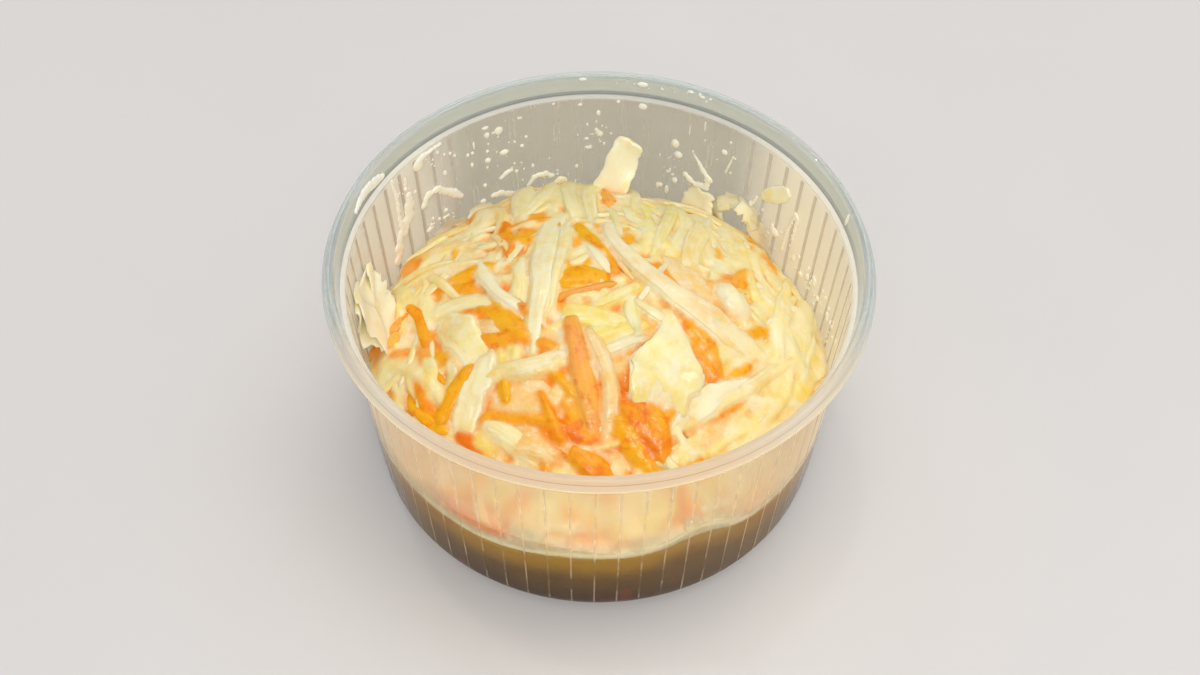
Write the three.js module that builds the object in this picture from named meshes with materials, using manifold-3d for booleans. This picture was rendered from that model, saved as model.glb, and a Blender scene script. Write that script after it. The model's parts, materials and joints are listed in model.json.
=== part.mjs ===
// Coleslaw in a clear ribbed salad tub. Millimetres, +Z up, origin on the table under the tub's centre.
// The tub is a thin shell with a lid seat, a turned-down lip and upright ribs. Thin dressing has pooled in
// its lower part, and a heap of shredded cabbage and carrot stands in it up to a rounded top.
import * as THREE from "three";
import { mergeVertices } from "three/addons/utils/BufferGeometryUtils.js";
import Module from "manifold-3d";

const wasm = await Module();
wasm.setup();

// ---- Driving sizes ----
const RIM_DIAMETER = 101;
const TUB_HEIGHT = 51;
const WALL = 0.6;
const FACETS = 64; // flat panels round the tub, with one rib on each corner between them
const SEAT_DEPTH = 4.3; // from the rim's top down to the ledge that a lid rests on
const LIP_DROP = 2.5; // the lip turns down this far outside the seat
const INNER_TOP_RADIUS = 46.3; // inside of the wall, just under the ledge
const INNER_FOOT_RADIUS = 41.9; // inside of the wall, at the top of the bottom corner
const CORNER_HEIGHT = 4.6;
const FOOT_RISE = 0.5; // the middle of the base stands this far off the table
const RIB_WIDTH = 0.9;
const RIB_PROUD = 0.35;
const GAP = 0.35; // between the food and the tub, and between the two layers of food
const HEAP_TOP = 43; // height of the heap's crown
const CORE_DEPTH = 1.2; // the plain core lies this far below the heap's outer surface
const SEED = 58;

const rimRadius = RIM_DIAMETER / 2;
const ledgeHeight = TUB_HEIGHT - SEAT_DEPTH;
const floorHeight = FOOT_RISE + WALL;

// ---- Colours ----
const plastic = new THREE.MeshStandardMaterial({ color: 0xe6e6de, roughness: 0.1, transparent: true, opacity: 0.35 });
const slawCream = new THREE.MeshStandardMaterial({ color: 0xf3dfa2, roughness: 0.45 });
const dressingOlive = new THREE.MeshStandardMaterial({ color: 0x8f743f, roughness: 0.25 });

// ---- Small helpers ----
const degrees = Math.PI / 180;

// The same row of draws every time.
function seededRandom(seed) {
  let state = seed;
  return () => {
    state = (state + 0x6d2b79f5) | 0;
    let t = Math.imul(state ^ (state >>> 15), 1 | state);
    t = (t + Math.imul(t ^ (t >>> 7), 61 | t)) ^ t;
    return ((t ^ (t >>> 14)) >>> 0) / 4294967296;
  };
}

// A closed skin over rings of points, all with the same count, with a pole at each end.
// Rings run anticlockwise as seen from the last pole.
function skinOver(rings, firstPole, lastPole) {
  const count = rings[0].length;
  const points = [firstPole, ...rings.flat(), lastPole];
  const last = points.length - 1;
  const at = (ring, i) => 1 + ring * count + (i % count);
  const faces = [];
  for (let i = 0; i < count; i++) {
    faces.push(0, at(0, i + 1), at(0, i));
    for (let ring = 0; ring + 1 < rings.length; ring++) {
      faces.push(at(ring, i), at(ring, i + 1), at(ring + 1, i + 1));
      faces.push(at(ring, i), at(ring + 1, i + 1), at(ring + 1, i));
    }
    faces.push(at(rings.length - 1, i), at(rings.length - 1, i + 1), last);
  }
  return new THREE.BufferGeometry().setFromPoints(points).setIndex(faces);
}

// A geometry as a solid that can be joined and cut.
function solidFrom(geometry) {
  const bare = geometry.clone();
  bare.deleteAttribute("normal");
  bare.deleteAttribute("uv");
  const merged = mergeVertices(bare, 1e-4);
  return new wasm.Manifold(
    new wasm.Mesh({
      numProp: 3,
      vertProperties: new Float32Array(merged.attributes.position.array),
      triVerts: new Uint32Array(merged.index.array),
    }),
  );
}

// The largest piece of a solid, without slivers smaller than `detail`, sealed hollows or loose scraps.
function soundSolid(solid, detail) {
  const pieces = solid.asOriginal().simplify(detail).decompose();
  return pieces.reduce((a, b) => (b.volume() > a.volume() ? b : a));
}

function meshOf(name, solid, material) {
  const mesh = solid.getMesh();
  const geometry = new THREE.BufferGeometry()
    .setAttribute("position", new THREE.BufferAttribute(new Float32Array(mesh.vertProperties), 3))
    .setIndex(new THREE.BufferAttribute(new Uint32Array(mesh.triVerts), 1));
  geometry.computeVertexNormals();
  const made = new THREE.Mesh(geometry, material);
  made.name = name;
  return made;
}

// ---- The tub ----
// Inside radius of the straight part of the wall, at a height.
const innerRadius = (z) =>
  THREE.MathUtils.mapLinear(z, CORNER_HEIGHT, ledgeHeight, INNER_FOOT_RADIUS, INNER_TOP_RADIUS);

// A lathe profile of [radius, height] pairs, starting and ending on the axis, turned to stand along +Z.
function turned(profile, segments) {
  const points = profile.map(([radius, height]) => new THREE.Vector2(radius, height));
  return new THREE.LatheGeometry(points, segments).rotateX(90 * degrees);
}

function tubShell() {
  const outerFoot = INNER_FOOT_RADIUS + WALL;
  const outerTop = INNER_TOP_RADIUS + WALL;
  const seatTop = rimRadius - 2.3; // the seat's inside radius at the very top
  const seatFoot = seatTop - 0.8; // and at the ledge
  const lipTop = rimRadius - 0.8; // the lip leans out on its way down
  return turned(
    [
      [0, FOOT_RISE],
      [33, FOOT_RISE],
      [33.6, 0],
      [38.6, 0],
      [41.4, 1.5],
      [outerFoot, CORNER_HEIGHT],
      [outerTop, ledgeHeight - WALL],
      [seatFoot + WALL, ledgeHeight - 0.3],
      [seatTop + WALL, TUB_HEIGHT - WALL],
      [lipTop - WALL, TUB_HEIGHT - WALL],
      [rimRadius - WALL, TUB_HEIGHT - LIP_DROP],
      [rimRadius, TUB_HEIGHT - LIP_DROP],
      [lipTop, TUB_HEIGHT - 0.3],
      [lipTop - 0.4, TUB_HEIGHT],
      [seatTop + 0.1, TUB_HEIGHT],
      [seatFoot, ledgeHeight],
      [INNER_TOP_RADIUS, ledgeHeight],
      [INNER_FOOT_RADIUS, CORNER_HEIGHT],
      [40.6, 2.2],
      [38.2, floorHeight],
      [0, floorHeight],
    ],
    FACETS,
  );
}

// One upright rib on the outside of the wall, its back sunk in it.
function rib(angle) {
  const foot = new THREE.Vector2(INNER_FOOT_RADIUS + WALL, CORNER_HEIGHT - 0.6);
  const head = new THREE.Vector2(INNER_TOP_RADIUS + WALL, ledgeHeight - WALL + 0.1);
  const along = head.clone().sub(foot);
  const sunk = 0.25;
  const middle = foot.clone().lerp(head, 0.5);
  return new THREE.BoxGeometry(sunk + RIB_PROUD, RIB_WIDTH, along.length())
    .translate((RIB_PROUD - sunk) / 2, 0, 0)
    .rotateY(Math.atan2(along.x, along.y))
    .translate(middle.x, 0, middle.y)
    .rotateZ(angle);
}

// ---- The two layers of food, as heights over the plan ----
const bump = (angle, at, width) => {
  const off = Math.atan2(Math.sin(angle - at * degrees), Math.cos(angle - at * degrees));
  return Math.exp(-((off / (width * degrees)) ** 2));
};

// Where the pooled dressing ends at the wall: an uneven line with one high tongue at the front right.
const dressingEdge = (angle) =>
  18.6 +
  1.1 * Math.cos(2 * angle + 160 * degrees) +
  0.5 * Math.cos(5 * angle + 40 * degrees) +
  0.3 * Math.cos(11 * angle) +
  4.6 * bump(angle, -64, 9);

// Where the heap leaves the wall.
const heapEdge = (angle) =>
  Math.max(
    23 +
      1.2 * Math.cos(angle - 170 * degrees) +
      0.9 * Math.cos(3 * angle + 40 * degrees) +
      0.6 * Math.cos(7 * angle),
    dressingEdge(angle) + 2,
  );

// The heap's outer surface at a place on the plan.
function heapHeight(x, y) {
  const angle = Math.atan2(y, x);
  const share = Math.min(1, Math.hypot(x, y) / 44);
  const edge = heapEdge(angle);
  return edge + (HEAP_TOP - edge) * (1 - share * share);
}

// The way up from the heap's surface.
function heapNormal(x, y) {
  const step = 0.5;
  return new THREE.Vector3(
    heapHeight(x - step, y) - heapHeight(x + step, y),
    heapHeight(x, y - step) - heapHeight(x, y + step),
    2 * step,
  ).normalize();
}

const LAYER_SEGMENTS = 32;

// A ring round the axis: radius and height are both functions of the angle.
function ring(radiusAt, heightAt) {
  return Array.from({ length: LAYER_SEGMENTS }, (_, i) => {
    const angle = (i / LAYER_SEGMENTS) * 2 * Math.PI;
    const radius = radiusAt(angle);
    return new THREE.Vector3(radius * Math.cos(angle), radius * Math.sin(angle), heightAt(angle, radius));
  });
}

function dressingSolid() {
  const insideWall = (angle) => innerRadius(dressingEdge(angle)) - GAP - 0.1;
  const shares = [0.85, 0.6, 0.3];
  const foot = floorHeight + GAP;
  return skinOver(
    [
      ring(() => 38 - GAP, () => foot),
      ring(() => 40.9 - GAP, () => 3.2 + GAP / 2),
      ring(() => INNER_FOOT_RADIUS - GAP - 0.1, () => CORNER_HEIGHT + GAP / 2),
      ring(insideWall, dressingEdge),
      ...shares.map((share) => ring((angle) => insideWall(angle) * share, dressingSurface)),
    ],
    new THREE.Vector3(0, 0, foot),
    new THREE.Vector3(0, 0, dressingSurface(0, 0)),
  );
}

// The dressing's top, under the heap: nearly level in the middle, uneven at the wall.
function dressingSurface(angle, radius) {
  return THREE.MathUtils.lerp(18, dressingEdge(angle), (radius / 44) ** 2);
}

function heapCore() {
  const underside = (angle, radius) => dressingSurface(angle, radius) + GAP;
  const wallAt = (height) => (angle) => innerRadius(height(angle)) - GAP - 0.1;
  const lowEdge = wallAt(dressingEdge);
  const highEdge = wallAt(heapEdge);
  const coreHeight = (angle, radius) => {
    const x = radius * Math.cos(angle);
    const y = radius * Math.sin(angle);
    const lumps = 0.4 * Math.sin(x * 0.42 + 1) * Math.sin(y * 0.37) + 0.3 * Math.sin(x * 0.2 - y * 0.5);
    return heapHeight(x, y) - CORE_DEPTH + lumps;
  };
  const atWall = (angle) => heapEdge(angle) - 0.4;
  return skinOver(
    [
      ring((angle) => lowEdge(angle) * 0.35, underside),
      ring((angle) => lowEdge(angle) * 0.75, underside),
      ring(lowEdge, (angle) => dressingEdge(angle) + GAP),
      ring(highEdge, atWall),
      ...[0.88, 0.7, 0.5, 0.3].map((share) =>
        ring((angle) => highEdge(angle) * share, coreHeight),
      ),
    ],
    new THREE.Vector3(0, 0, underside(0, 0)),
    new THREE.Vector3(0, 0, coreHeight(0, 0)),
  );
}

// ---- Shreds ----
// A shred is a strip along a curve. Each section is a flat four-cornered ring, its broad side facing `up`.
// It narrows a little at the ends, and `twist` turns it over its length. `root` is how far its underside
// lies below its middle: a shred in the heap is rooted in it, and a free one is as thin below as above.
function strip({ path, width, thick, up, root = thick / 2, twist = 0, sections = 6, taper = 0.45 }) {
  const curve = new THREE.CatmullRomCurve3(path);
  const rings = [];
  for (let i = 0; i < sections; i++) {
    const share = i / (sections - 1);
    const middle = curve.getPointAt(share);
    const ahead = curve.getTangentAt(share);
    const side = ahead.clone().cross(up(middle)).normalize();
    const normal = side.clone().cross(ahead).normalize();
    const turn = twist * (share - 0.5);
    const across = side.clone().applyAxisAngle(ahead, turn);
    const out = normal.clone().applyAxisAngle(ahead, turn);
    const swell = 1 - taper * Math.abs(2 * share - 1) ** 3;
    const half = (width * swell) / 2;
    const corners = [
      [half, thick / 2],
      [half, -root],
      [-half, -root],
      [-half, thick / 2],
    ];
    rings.push(corners.map(([a, b]) => middle.clone().addScaledVector(across, a).addScaledVector(out, b)));
  }
  const reach = 0.3 * thick;
  const start = path[0].clone().addScaledVector(curve.getTangentAt(0), -reach);
  const end = path[path.length - 1].clone().addScaledVector(curve.getTangentAt(1), reach);
  return skinOver(rings, start, end);
}

const onHeap = ([x, y, lift]) => new THREE.Vector3(x, y, heapHeight(x, y) + lift);
const upFromHeap = (point) => heapNormal(point.x, point.y);
const fromAxis = (point) => new THREE.Vector3(-point.x, -point.y, 0).normalize();

// The large shreds that lie on top, by hand: width, thickness, then places as [x, y, lift over the heap].
const CABBAGE_ON_TOP = [
  [5.5, 1.3, [[-8.5, 24, 0], [-9.3, 14, 1.2], [-10, 5, 2], [-10.8, -4, 1.4], [-11.8, -13, 0]]],
  [4.8, 1.4, [[2.2, 22, 0], [4, 12, 1], [8, 5, 2], [16, -2.5, 2.2], [24, -6.5, 1.4], [31, -9, 0]]],
  [2.8, 1.4, [[-22.5, 11, 0], [-20.8, 5, 1.4], [-18.5, 0.5, 1.4], [-14.5, -2.5, 0]]],
  [1.6, 1, [[-21, 20, 0.2], [-18.8, 14.5, 1], [-16.3, 9, 0.2]]],
  [3.2, 1.5, [[-18.5, -17.8, 0.6], [-12, -16.3, 1.8], [-5, -14.5, 0.4]]],
  [4.8, 1.3, [[-20.5, -12, 0.2], [-22, -19, 1.2], [-24.5, -26.5, 0]]],
  [3.8, 1.5, [[-19.5, -25.5, 0.2], [-14.5, -28, 1.2], [-9.5, -32, 0]]],
  [11, 1.2, [[13, -4, 0], [14.3, -13, 1.4], [12, -23.5, 0.2]]],
  [3.4, 1.4, [[13.5, -26, 0.2], [20, -20.5, 1.4], [26, -15, 1.2], [32, -9.5, 0]]],
  [2.4, 1.4, [[-1.8, -8.5, 0], [0.6, -15, 1.3], [2.1, -21, 1.4], [2.2, -27.5, 0.2]]],
  [6, 1.3, [[-4, 41, 0.6], [-3.6, 31, 1.2], [-2.4, 21, 0.2]]],
  [8, 1.2, [[14, 32, 0.6], [15.5, 22, 1.4], [14, 13, 0]]],
  [4, 1.5, [[19.5, 28, 0.6], [18, 19, 1.6], [16.8, 9.5, 0]]],
  [4.4, 3, [[22.8, 4.8, 0.4], [26.3, -1.8, 0.4]]],
  [5, 1.3, [[-31, -9, 0], [-29.5, -14, 1], [-29, -20.5, 0]]],
  [6.5, 1.3, [[33, 14, 0], [36, 2, 1], [35, -10, 0]]],
  [5.5, 1.2, [[-14, 38, 0.2], [-11, 31, 1], [-13, 24, 0]]],
  [5, 1.2, [[-33, 24, 0], [-27, 25, 0.9], [-20, 29, 0]]],
  [1.8, 1.2, [[-3.2, 13.5, 0], [0, 8, 0.8], [3.2, 2.5, 0]]],
  [4.8, 1.3, [[-31, 1, 0], [-26, -4, 1], [-21.5, -11, 0]]],
  [2.6, 1.3, [[-13.6, 9.5, 0], [-14, 3, 1], [-13.2, -3.5, 0]]],
  [1.8, 1.2, [[0, -3.5, 0], [4, -1.8, 0.8], [7.5, 0.8, 0]]],
  [2.2, 1.2, [[6.2, -1, 0], [6, -5.5, 0.9], [7, -10.5, 0]]],
  [2.2, 1.2, [[8.5, -10.8, 0], [5.5, -12, 0.8], [1.5, -13.5, 0]]],
];
const CARROT_ON_TOP = [
  [3.6, 2.2, [[-4.2, -8.3, 0.2], [-2.8, -16, 1.5], [-0.7, -25.5, 0.4]]],
  [4.2, 2, [[-17.8, 20.5, 0], [-16.8, 12, 0]]],
  [3.5, 2, [[-15, 22.5, 0], [-11.5, 22, 0]]],
  [3.8, 2, [[-28.5, 6.3, 0], [-22.5, 4.6, 0.2]]],
  [2.6, 2, [[-24.8, -1.6, 0], [-19, -3.6, 0]]],
  [4.8, 2, [[-18.5, -3, 0], [-13, -8.5, 0.2]]],
  [1.7, 1.6, [[-22.3, -8.3, 0.3], [-13, -10.2, 0.3]]],
  [3.6, 2, [[-4.5, 18.5, -0.2], [-6.8, 4, 0.2]]],
  [4.6, 2, [[-6, 1.3, 0], [0.3, 1.2, 0.2]]],
  [1.8, 1.6, [[-2, 17.5, 0], [1.6, 12, 0.2], [3.2, 4.2, 0.2]]],
  [2.5, 1.8, [[4.7, 21, 0], [5.8, 11.8, 0]]],
  [3.4, 2, [[-32, -2.3, 0], [-31.2, -9.6, 0.4]]],
  [2.2, 1.8, [[-37, -4.6, 0], [-34, -6, 0]]],
  [2.4, 1.9, [[-32.8, -11, 0], [-30.6, -20.8, 0]]],
  [2.8, 1.8, [[-23, -14.3, 0.3], [-28.6, -22.6, 0.3]]],
  [2.2, 1.8, [[-19.2, -23.3, 0.3], [-8.8, -25.6, 0.3]]],
  [3.4, 2, [[-8.3, -17.2, 0], [-6.8, -22.5, -0.2]]],
  [4, 2.2, [[-8, -25.8, 0.2], [-3.3, -28, 0.4]]],
  [7, 3.2, [[4.6, -23.5, -0.2], [9.5, -31, 0.4]]],
  [5, 2, [[16, -6.5, 0], [20, -13.5, 0.2]]],
  [3, 2, [[28, 12.3, 0], [22.4, 5, 0.2]]],
  [3, 2, [[35, -2, 0], [30.5, 1.2, 0.2]]],
  [2.6, 2, [[31, -1.5, 0], [26.2, -4.6, 0]]],
  [2.4, 1.8, [[22, -21.6, 0.2], [26, -17.8, 0.2]]],
  [3, 2, [[30, 31, -0.2], [31.5, 20, 0.2]]],
  [2.2, 1.8, [[-0.8, 38, 0], [2, 30, 0.2]]],
  [3, 2, [[-38.2, 22.5, -0.2], [-36.5, 17, 0.2]]],
  [5.5, 2, [[-13, -19.5, 0.2], [-10.5, -24, 0.2]]],
];
// Shreds that stand up from the heap, or against the wall: width, thickness, then places as [x, y, height].
const STANDING = [
  [6.4, 1.2, [[2.5, 35, 28], [4.5, 38.5, 34], [6.5, 41, 41.5]]],
  [9.5, 1.1, [[-36.5, 2, 25], [-41.3, 4.5, 31.5], [-44.2, 6.5, 39.5]]],
];

const UNDER_COUNT = 66; // more shreds between the large ones
function shredsUnder(random) {
  const goldenAngle = Math.PI * (3 - Math.sqrt(5));
  const between = (low, high) => low + (high - low) * random();
  return Array.from({ length: UNDER_COUNT }, (_, k) => {
    const radius = 41 * Math.sqrt((k + 0.5) / UNDER_COUNT);
    const angle = k * goldenAngle;
    const x = radius * Math.cos(angle);
    const y = radius * Math.sin(angle);
    // Near the wall a shred lies more along it, so that little of it is cut away.
    const heading = random() < radius / 60 ? angle + 90 * degrees + between(-0.5, 0.5) : between(0, 2 * Math.PI);
    const half = between(6, 11);
    const bend = between(-0.35, 0.35) * half;
    const dx = Math.cos(heading);
    const dy = Math.sin(heading);
    const carrot = random() < 0.3;
    const peak = between(0.2, 0.9);
    return strip({
      path: [
        [x - dx * half, y - dy * half, -0.9],
        [x - dy * bend, y + dx * bend, peak],
        [x + dx * half, y + dy * half, -0.9],
      ].map(onHeap),
      width: carrot ? between(1.8, 3) : between(2.4, 4.6),
      thick: carrot ? 1.9 : 1.3,
      root: 2,
      up: upFromHeap,
      twist: between(-0.6, 0.6),
      sections: 4,
    });
  });
}

function heapSolid() {
  const laid = [...CABBAGE_ON_TOP, ...CARROT_ON_TOP].map(([width, thick, places]) =>
    strip({ path: places.map(onHeap), width, thick, root: 2.2, up: upFromHeap, sections: places.length + 2 }),
  );
  const standing = STANDING.map(([width, thick, places]) =>
    strip({
      path: places.map((place) => new THREE.Vector3(...place)),
      width,
      thick,
      up: fromAxis,
      sections: 6,
      taper: 0.25,
    }),
  );
  const pieces = [heapCore(), ...laid, ...standing, ...shredsUnder(seededRandom(SEED))];
  const joined = wasm.Manifold.union(pieces.map(solidFrom));
  // Nothing reaches the wall or the pooled dressing.
  const spaceProfile = [
    [0, 5],
    [innerRadius(5) - GAP, 5],
    [innerRadius(ledgeHeight) - GAP, ledgeHeight],
    [0, ledgeHeight],
  ];
  const space = solidFrom(turned(spaceProfile, FACETS));
  const below = solidFrom(
    skinOver(
      [
        ring(() => 60, () => 1),
        ring(() => 60, (angle) => dressingEdge(angle) + GAP - 0.02),
        ...[44, 33, 22, 11].map((radius) =>
          ring(() => radius, (angle) => dressingSurface(angle, radius) + GAP - 0.02),
        ),
      ],
      new THREE.Vector3(0, 0, 1),
      new THREE.Vector3(0, 0, dressingSurface(0, 0) + GAP - 0.02),
    ),
  );
  return soundSolid(joined.intersect(space).subtract(below), 0.08);
}

// ---- Scraps stuck to the inside of the wall, fused to it ----
// Each has its angle in degrees and its height for the middle, then length along the wall, width and thickness.
const WALL_SCRAPS = [
  [41, 38.5, 7, 3, 1.3],
  [134, 35.5, 6, 2, 1.0],
  [66, 33.5, 5, 2, 1.0],
];
function wallScrap([angle, height, length, width, thick]) {
  const radius = innerRadius(height) - thick * 0.18;
  const path = [-0.5, 0, 0.5].map((share) => {
    const turn = angle * degrees + (share * length) / radius;
    return new THREE.Vector3(radius * Math.cos(turn), radius * Math.sin(turn), height + share * 0.8);
  });
  return strip({ path, width, thick, up: fromAxis, sections: 5 });
}

function tubSolid() {
  const ribs = Array.from({ length: FACETS }, (_, i) => rib((i / FACETS) * 360 * degrees));
  const pieces = [tubShell(), ...ribs, ...WALL_SCRAPS.map(wallScrap)];
  return soundSolid(wasm.Manifold.union(pieces.map(solidFrom)), 0.02);
}

const tub = meshOf("tub", tubSolid(), plastic);
const dressing = meshOf("dressing", solidFrom(dressingSolid()), dressingOlive);
const slaw = meshOf("slaw", heapSolid(), slawCream);

const coleslaw = new THREE.Group();
coleslaw.add(tub, dressing, slaw);

export default coleslaw;
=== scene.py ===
# %% [markdown]
# # Coleslaw in its clear tub
#
# This file dresses a plain engineering model of a tub of coleslaw, so that it looks like the real food.
# It is written as a lesson: each step first says what the real thing is like, how it could be made in
# Blender, and why one way was chosen. All lengths in Blender are metres. The food is thought of in
# millimetres, so many numbers below are written in millimetres and multiplied by `MM`.

# %% Load the frame
import json
import math
import random

import bpy
import numpy as np
from mathutils import Vector, noise
from mathutils.bvhtree import BVHTree
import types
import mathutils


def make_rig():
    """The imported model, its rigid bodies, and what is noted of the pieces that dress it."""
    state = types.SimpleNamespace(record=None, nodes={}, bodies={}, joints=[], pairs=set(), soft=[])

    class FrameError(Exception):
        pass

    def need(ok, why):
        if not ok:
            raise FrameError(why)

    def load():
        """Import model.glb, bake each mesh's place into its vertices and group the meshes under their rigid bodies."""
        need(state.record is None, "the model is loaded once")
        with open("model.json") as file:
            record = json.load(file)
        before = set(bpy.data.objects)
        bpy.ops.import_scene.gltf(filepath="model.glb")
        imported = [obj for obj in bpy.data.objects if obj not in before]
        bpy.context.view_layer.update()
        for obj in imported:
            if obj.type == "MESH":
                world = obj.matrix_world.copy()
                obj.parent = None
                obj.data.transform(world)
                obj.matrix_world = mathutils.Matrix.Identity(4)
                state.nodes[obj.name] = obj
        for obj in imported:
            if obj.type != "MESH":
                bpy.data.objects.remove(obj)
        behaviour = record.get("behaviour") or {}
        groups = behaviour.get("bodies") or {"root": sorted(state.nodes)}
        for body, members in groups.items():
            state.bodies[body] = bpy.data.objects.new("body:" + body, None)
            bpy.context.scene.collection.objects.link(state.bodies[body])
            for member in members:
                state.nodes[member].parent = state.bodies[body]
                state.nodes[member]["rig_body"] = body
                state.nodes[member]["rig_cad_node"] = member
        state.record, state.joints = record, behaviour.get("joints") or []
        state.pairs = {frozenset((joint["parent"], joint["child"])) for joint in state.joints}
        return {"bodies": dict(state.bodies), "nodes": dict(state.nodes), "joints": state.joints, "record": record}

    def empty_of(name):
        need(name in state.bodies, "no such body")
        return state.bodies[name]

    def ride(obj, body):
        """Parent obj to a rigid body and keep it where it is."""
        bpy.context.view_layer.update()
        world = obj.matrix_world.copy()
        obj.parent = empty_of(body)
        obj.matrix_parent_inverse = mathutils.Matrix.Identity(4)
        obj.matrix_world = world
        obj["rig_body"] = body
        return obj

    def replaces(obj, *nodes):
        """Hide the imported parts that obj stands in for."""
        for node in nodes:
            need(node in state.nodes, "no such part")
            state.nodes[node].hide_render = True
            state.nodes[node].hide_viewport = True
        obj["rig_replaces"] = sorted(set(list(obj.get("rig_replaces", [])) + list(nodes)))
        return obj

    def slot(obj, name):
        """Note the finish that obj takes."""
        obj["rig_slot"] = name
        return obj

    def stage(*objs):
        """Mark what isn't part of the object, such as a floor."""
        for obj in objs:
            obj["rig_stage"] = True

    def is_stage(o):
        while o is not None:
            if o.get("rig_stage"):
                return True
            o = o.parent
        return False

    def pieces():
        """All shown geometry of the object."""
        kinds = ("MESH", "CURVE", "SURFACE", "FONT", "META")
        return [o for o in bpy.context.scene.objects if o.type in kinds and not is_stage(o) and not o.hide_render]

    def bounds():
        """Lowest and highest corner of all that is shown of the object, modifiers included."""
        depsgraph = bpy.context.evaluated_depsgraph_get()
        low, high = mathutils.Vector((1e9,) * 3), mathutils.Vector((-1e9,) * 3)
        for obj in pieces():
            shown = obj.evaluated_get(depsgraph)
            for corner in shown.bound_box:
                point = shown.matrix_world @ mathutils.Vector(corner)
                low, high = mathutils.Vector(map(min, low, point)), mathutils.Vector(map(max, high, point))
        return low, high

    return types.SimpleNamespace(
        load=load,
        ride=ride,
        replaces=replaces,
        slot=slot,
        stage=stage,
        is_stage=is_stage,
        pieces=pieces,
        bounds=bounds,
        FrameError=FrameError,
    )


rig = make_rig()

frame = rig.load()
cad_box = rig.bounds()

MM = 0.001
print("solids:", sorted(frame["nodes"]), "box:", cad_box)

# %% [markdown]
# ## Sizes
#
# The tub's outside is read from the solids, so the finished tub can't drift away from them. What the
# solids don't say outright, such as the slope of the wall and the round between wall and floor, is
# written here once and used everywhere.

# %% Sizes of the tub, in millimetres
RIM_RADIUS = (cad_box[1][0] - cad_box[0][0]) / 2 / MM
TUB_HEIGHT = cad_box[1][2] / MM
WALL = 0.6
SEAT_DEPTH = 4.3
LEDGE_HEIGHT = TUB_HEIGHT - SEAT_DEPTH
INNER_TOP_RADIUS = 46.3
INNER_FOOT_RADIUS = 41.9
CORNER_CENTRE = 38.1
CORNER_HEIGHT = 4.6
CORNER_SIZE = 3.6
WALL_FOOT = 5.0
FLOOR_HEIGHT = 1.1
FLOOR_EDGE = 37.5
PANELS = 64


def inner_radius(z):
    """Inside radius of the wall at a height, in millimetres."""
    share = (z - CORNER_HEIGHT) / (LEDGE_HEIGHT - CORNER_HEIGHT)
    return INNER_FOOT_RADIUS + (INNER_TOP_RADIUS - INNER_FOOT_RADIUS) * share


print(f"rim {2 * RIM_RADIUS:.1f} mm across, {TUB_HEIGHT:.1f} mm high")

# %% [markdown]
# ## The camera
#
# The camera stands in front of the tub and looks down on it, about half way between level and straight
# down. A long lens keeps the circles of the rim and the base close to true ellipses, as they look to
# someone who stands at a table. The aim point is the middle of the tub. A small shift and roll place it
# in the frame without turning the view.

# %% Camera
CAMERA_ELEVATION = math.radians(50.6)
CAMERA_DISTANCE = 0.450
CAMERA_ROLL = math.radians(0.9)
LENS = 71.04
SENSOR_WIDTH = 36
PICTURE_WIDTH = 1200
AIM_LEFT_OF_CENTRE = 2.0
AIM_BELOW_CENTRE = 12.5

aim = Vector((0, 0, TUB_HEIGHT / 2 * MM))
bpy.ops.object.camera_add()
camera = bpy.context.object
camera.name = "camera"
back = Vector((0, -math.cos(CAMERA_ELEVATION), math.sin(CAMERA_ELEVATION)))
camera.location = aim + back * CAMERA_DISTANCE
looking = back.to_track_quat("Z", "Y").to_matrix().to_4x4()
camera.rotation_euler = looking.to_euler()
camera.rotation_euler.rotate_axis("Z", CAMERA_ROLL)
camera.data.lens = LENS
camera.data.sensor_width = SENSOR_WIDTH
camera.data.shift_x = AIM_LEFT_OF_CENTRE / PICTURE_WIDTH
camera.data.shift_y = AIM_BELOW_CENTRE / PICTURE_WIDTH
camera.data.clip_start = 0.01
bpy.context.scene.camera = camera
print("camera at", tuple(round(v, 3) for v in camera.location))

# %% [markdown]
# ## Helpers for working by hand
#
# Operators act on whatever is selected, and the loaded solids arrive selected. So every step starts by
# clearing the selection. Points are then picked in code by where they are, as a person would pick them
# with the mouse, and a modifier is added and applied in one go.


# %% Helpers: selection, edit mode and modifiers
def start_clean():
    """Leaves edit mode and selects nothing."""
    if bpy.context.object and bpy.context.object.mode != "OBJECT":
        bpy.ops.object.mode_set(mode="OBJECT")
    bpy.ops.object.select_all(action="DESELECT")


def take_up(piece):
    """Selects one piece alone and makes it active."""
    start_clean()
    piece.select_set(True)
    bpy.context.view_layer.objects.active = piece


def points_of(piece):
    """All points of a piece in its own units, as rows of x, y and z."""
    spots = np.empty(len(piece.data.vertices) * 3)
    piece.data.vertices.foreach_get("co", spots)
    return spots.reshape(-1, 3)


def pick(piece, chosen):
    """Enters edit mode with the points for which chosen(rows in millimetres) is true selected."""
    take_up(piece)
    mesh = piece.data
    mask = chosen(points_of(piece) / MM)
    mesh.edges.foreach_set("select", np.zeros(len(mesh.edges), bool))
    mesh.polygons.foreach_set("select", np.zeros(len(mesh.polygons), bool))
    mesh.vertices.foreach_set("select", mask)
    bpy.ops.object.mode_set(mode="EDIT")
    bpy.ops.mesh.select_mode(type="VERT")
    return int(mask.sum())


def apply_modifier(piece, name, kind, **settings):
    """Adds a modifier with its settings to a piece and applies it."""
    take_up(piece)
    modifier = piece.modifiers.new(name, kind)
    for key, value in settings.items():
        setattr(modifier, key, value)
    bpy.ops.object.modifier_apply(modifier=name)


start_clean()
print("selected after a clean start:", len(bpy.context.selected_objects))

# %% [markdown]
# ## Colours
#
# Colours are thought of as they look on a screen, from 0 to 255. Blender's sockets want linear light,
# in which the middle grey of a screen is only about a fifth of white. `screen` converts them once, so
# that every colour below can be written the way a paint programme shows it.


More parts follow.
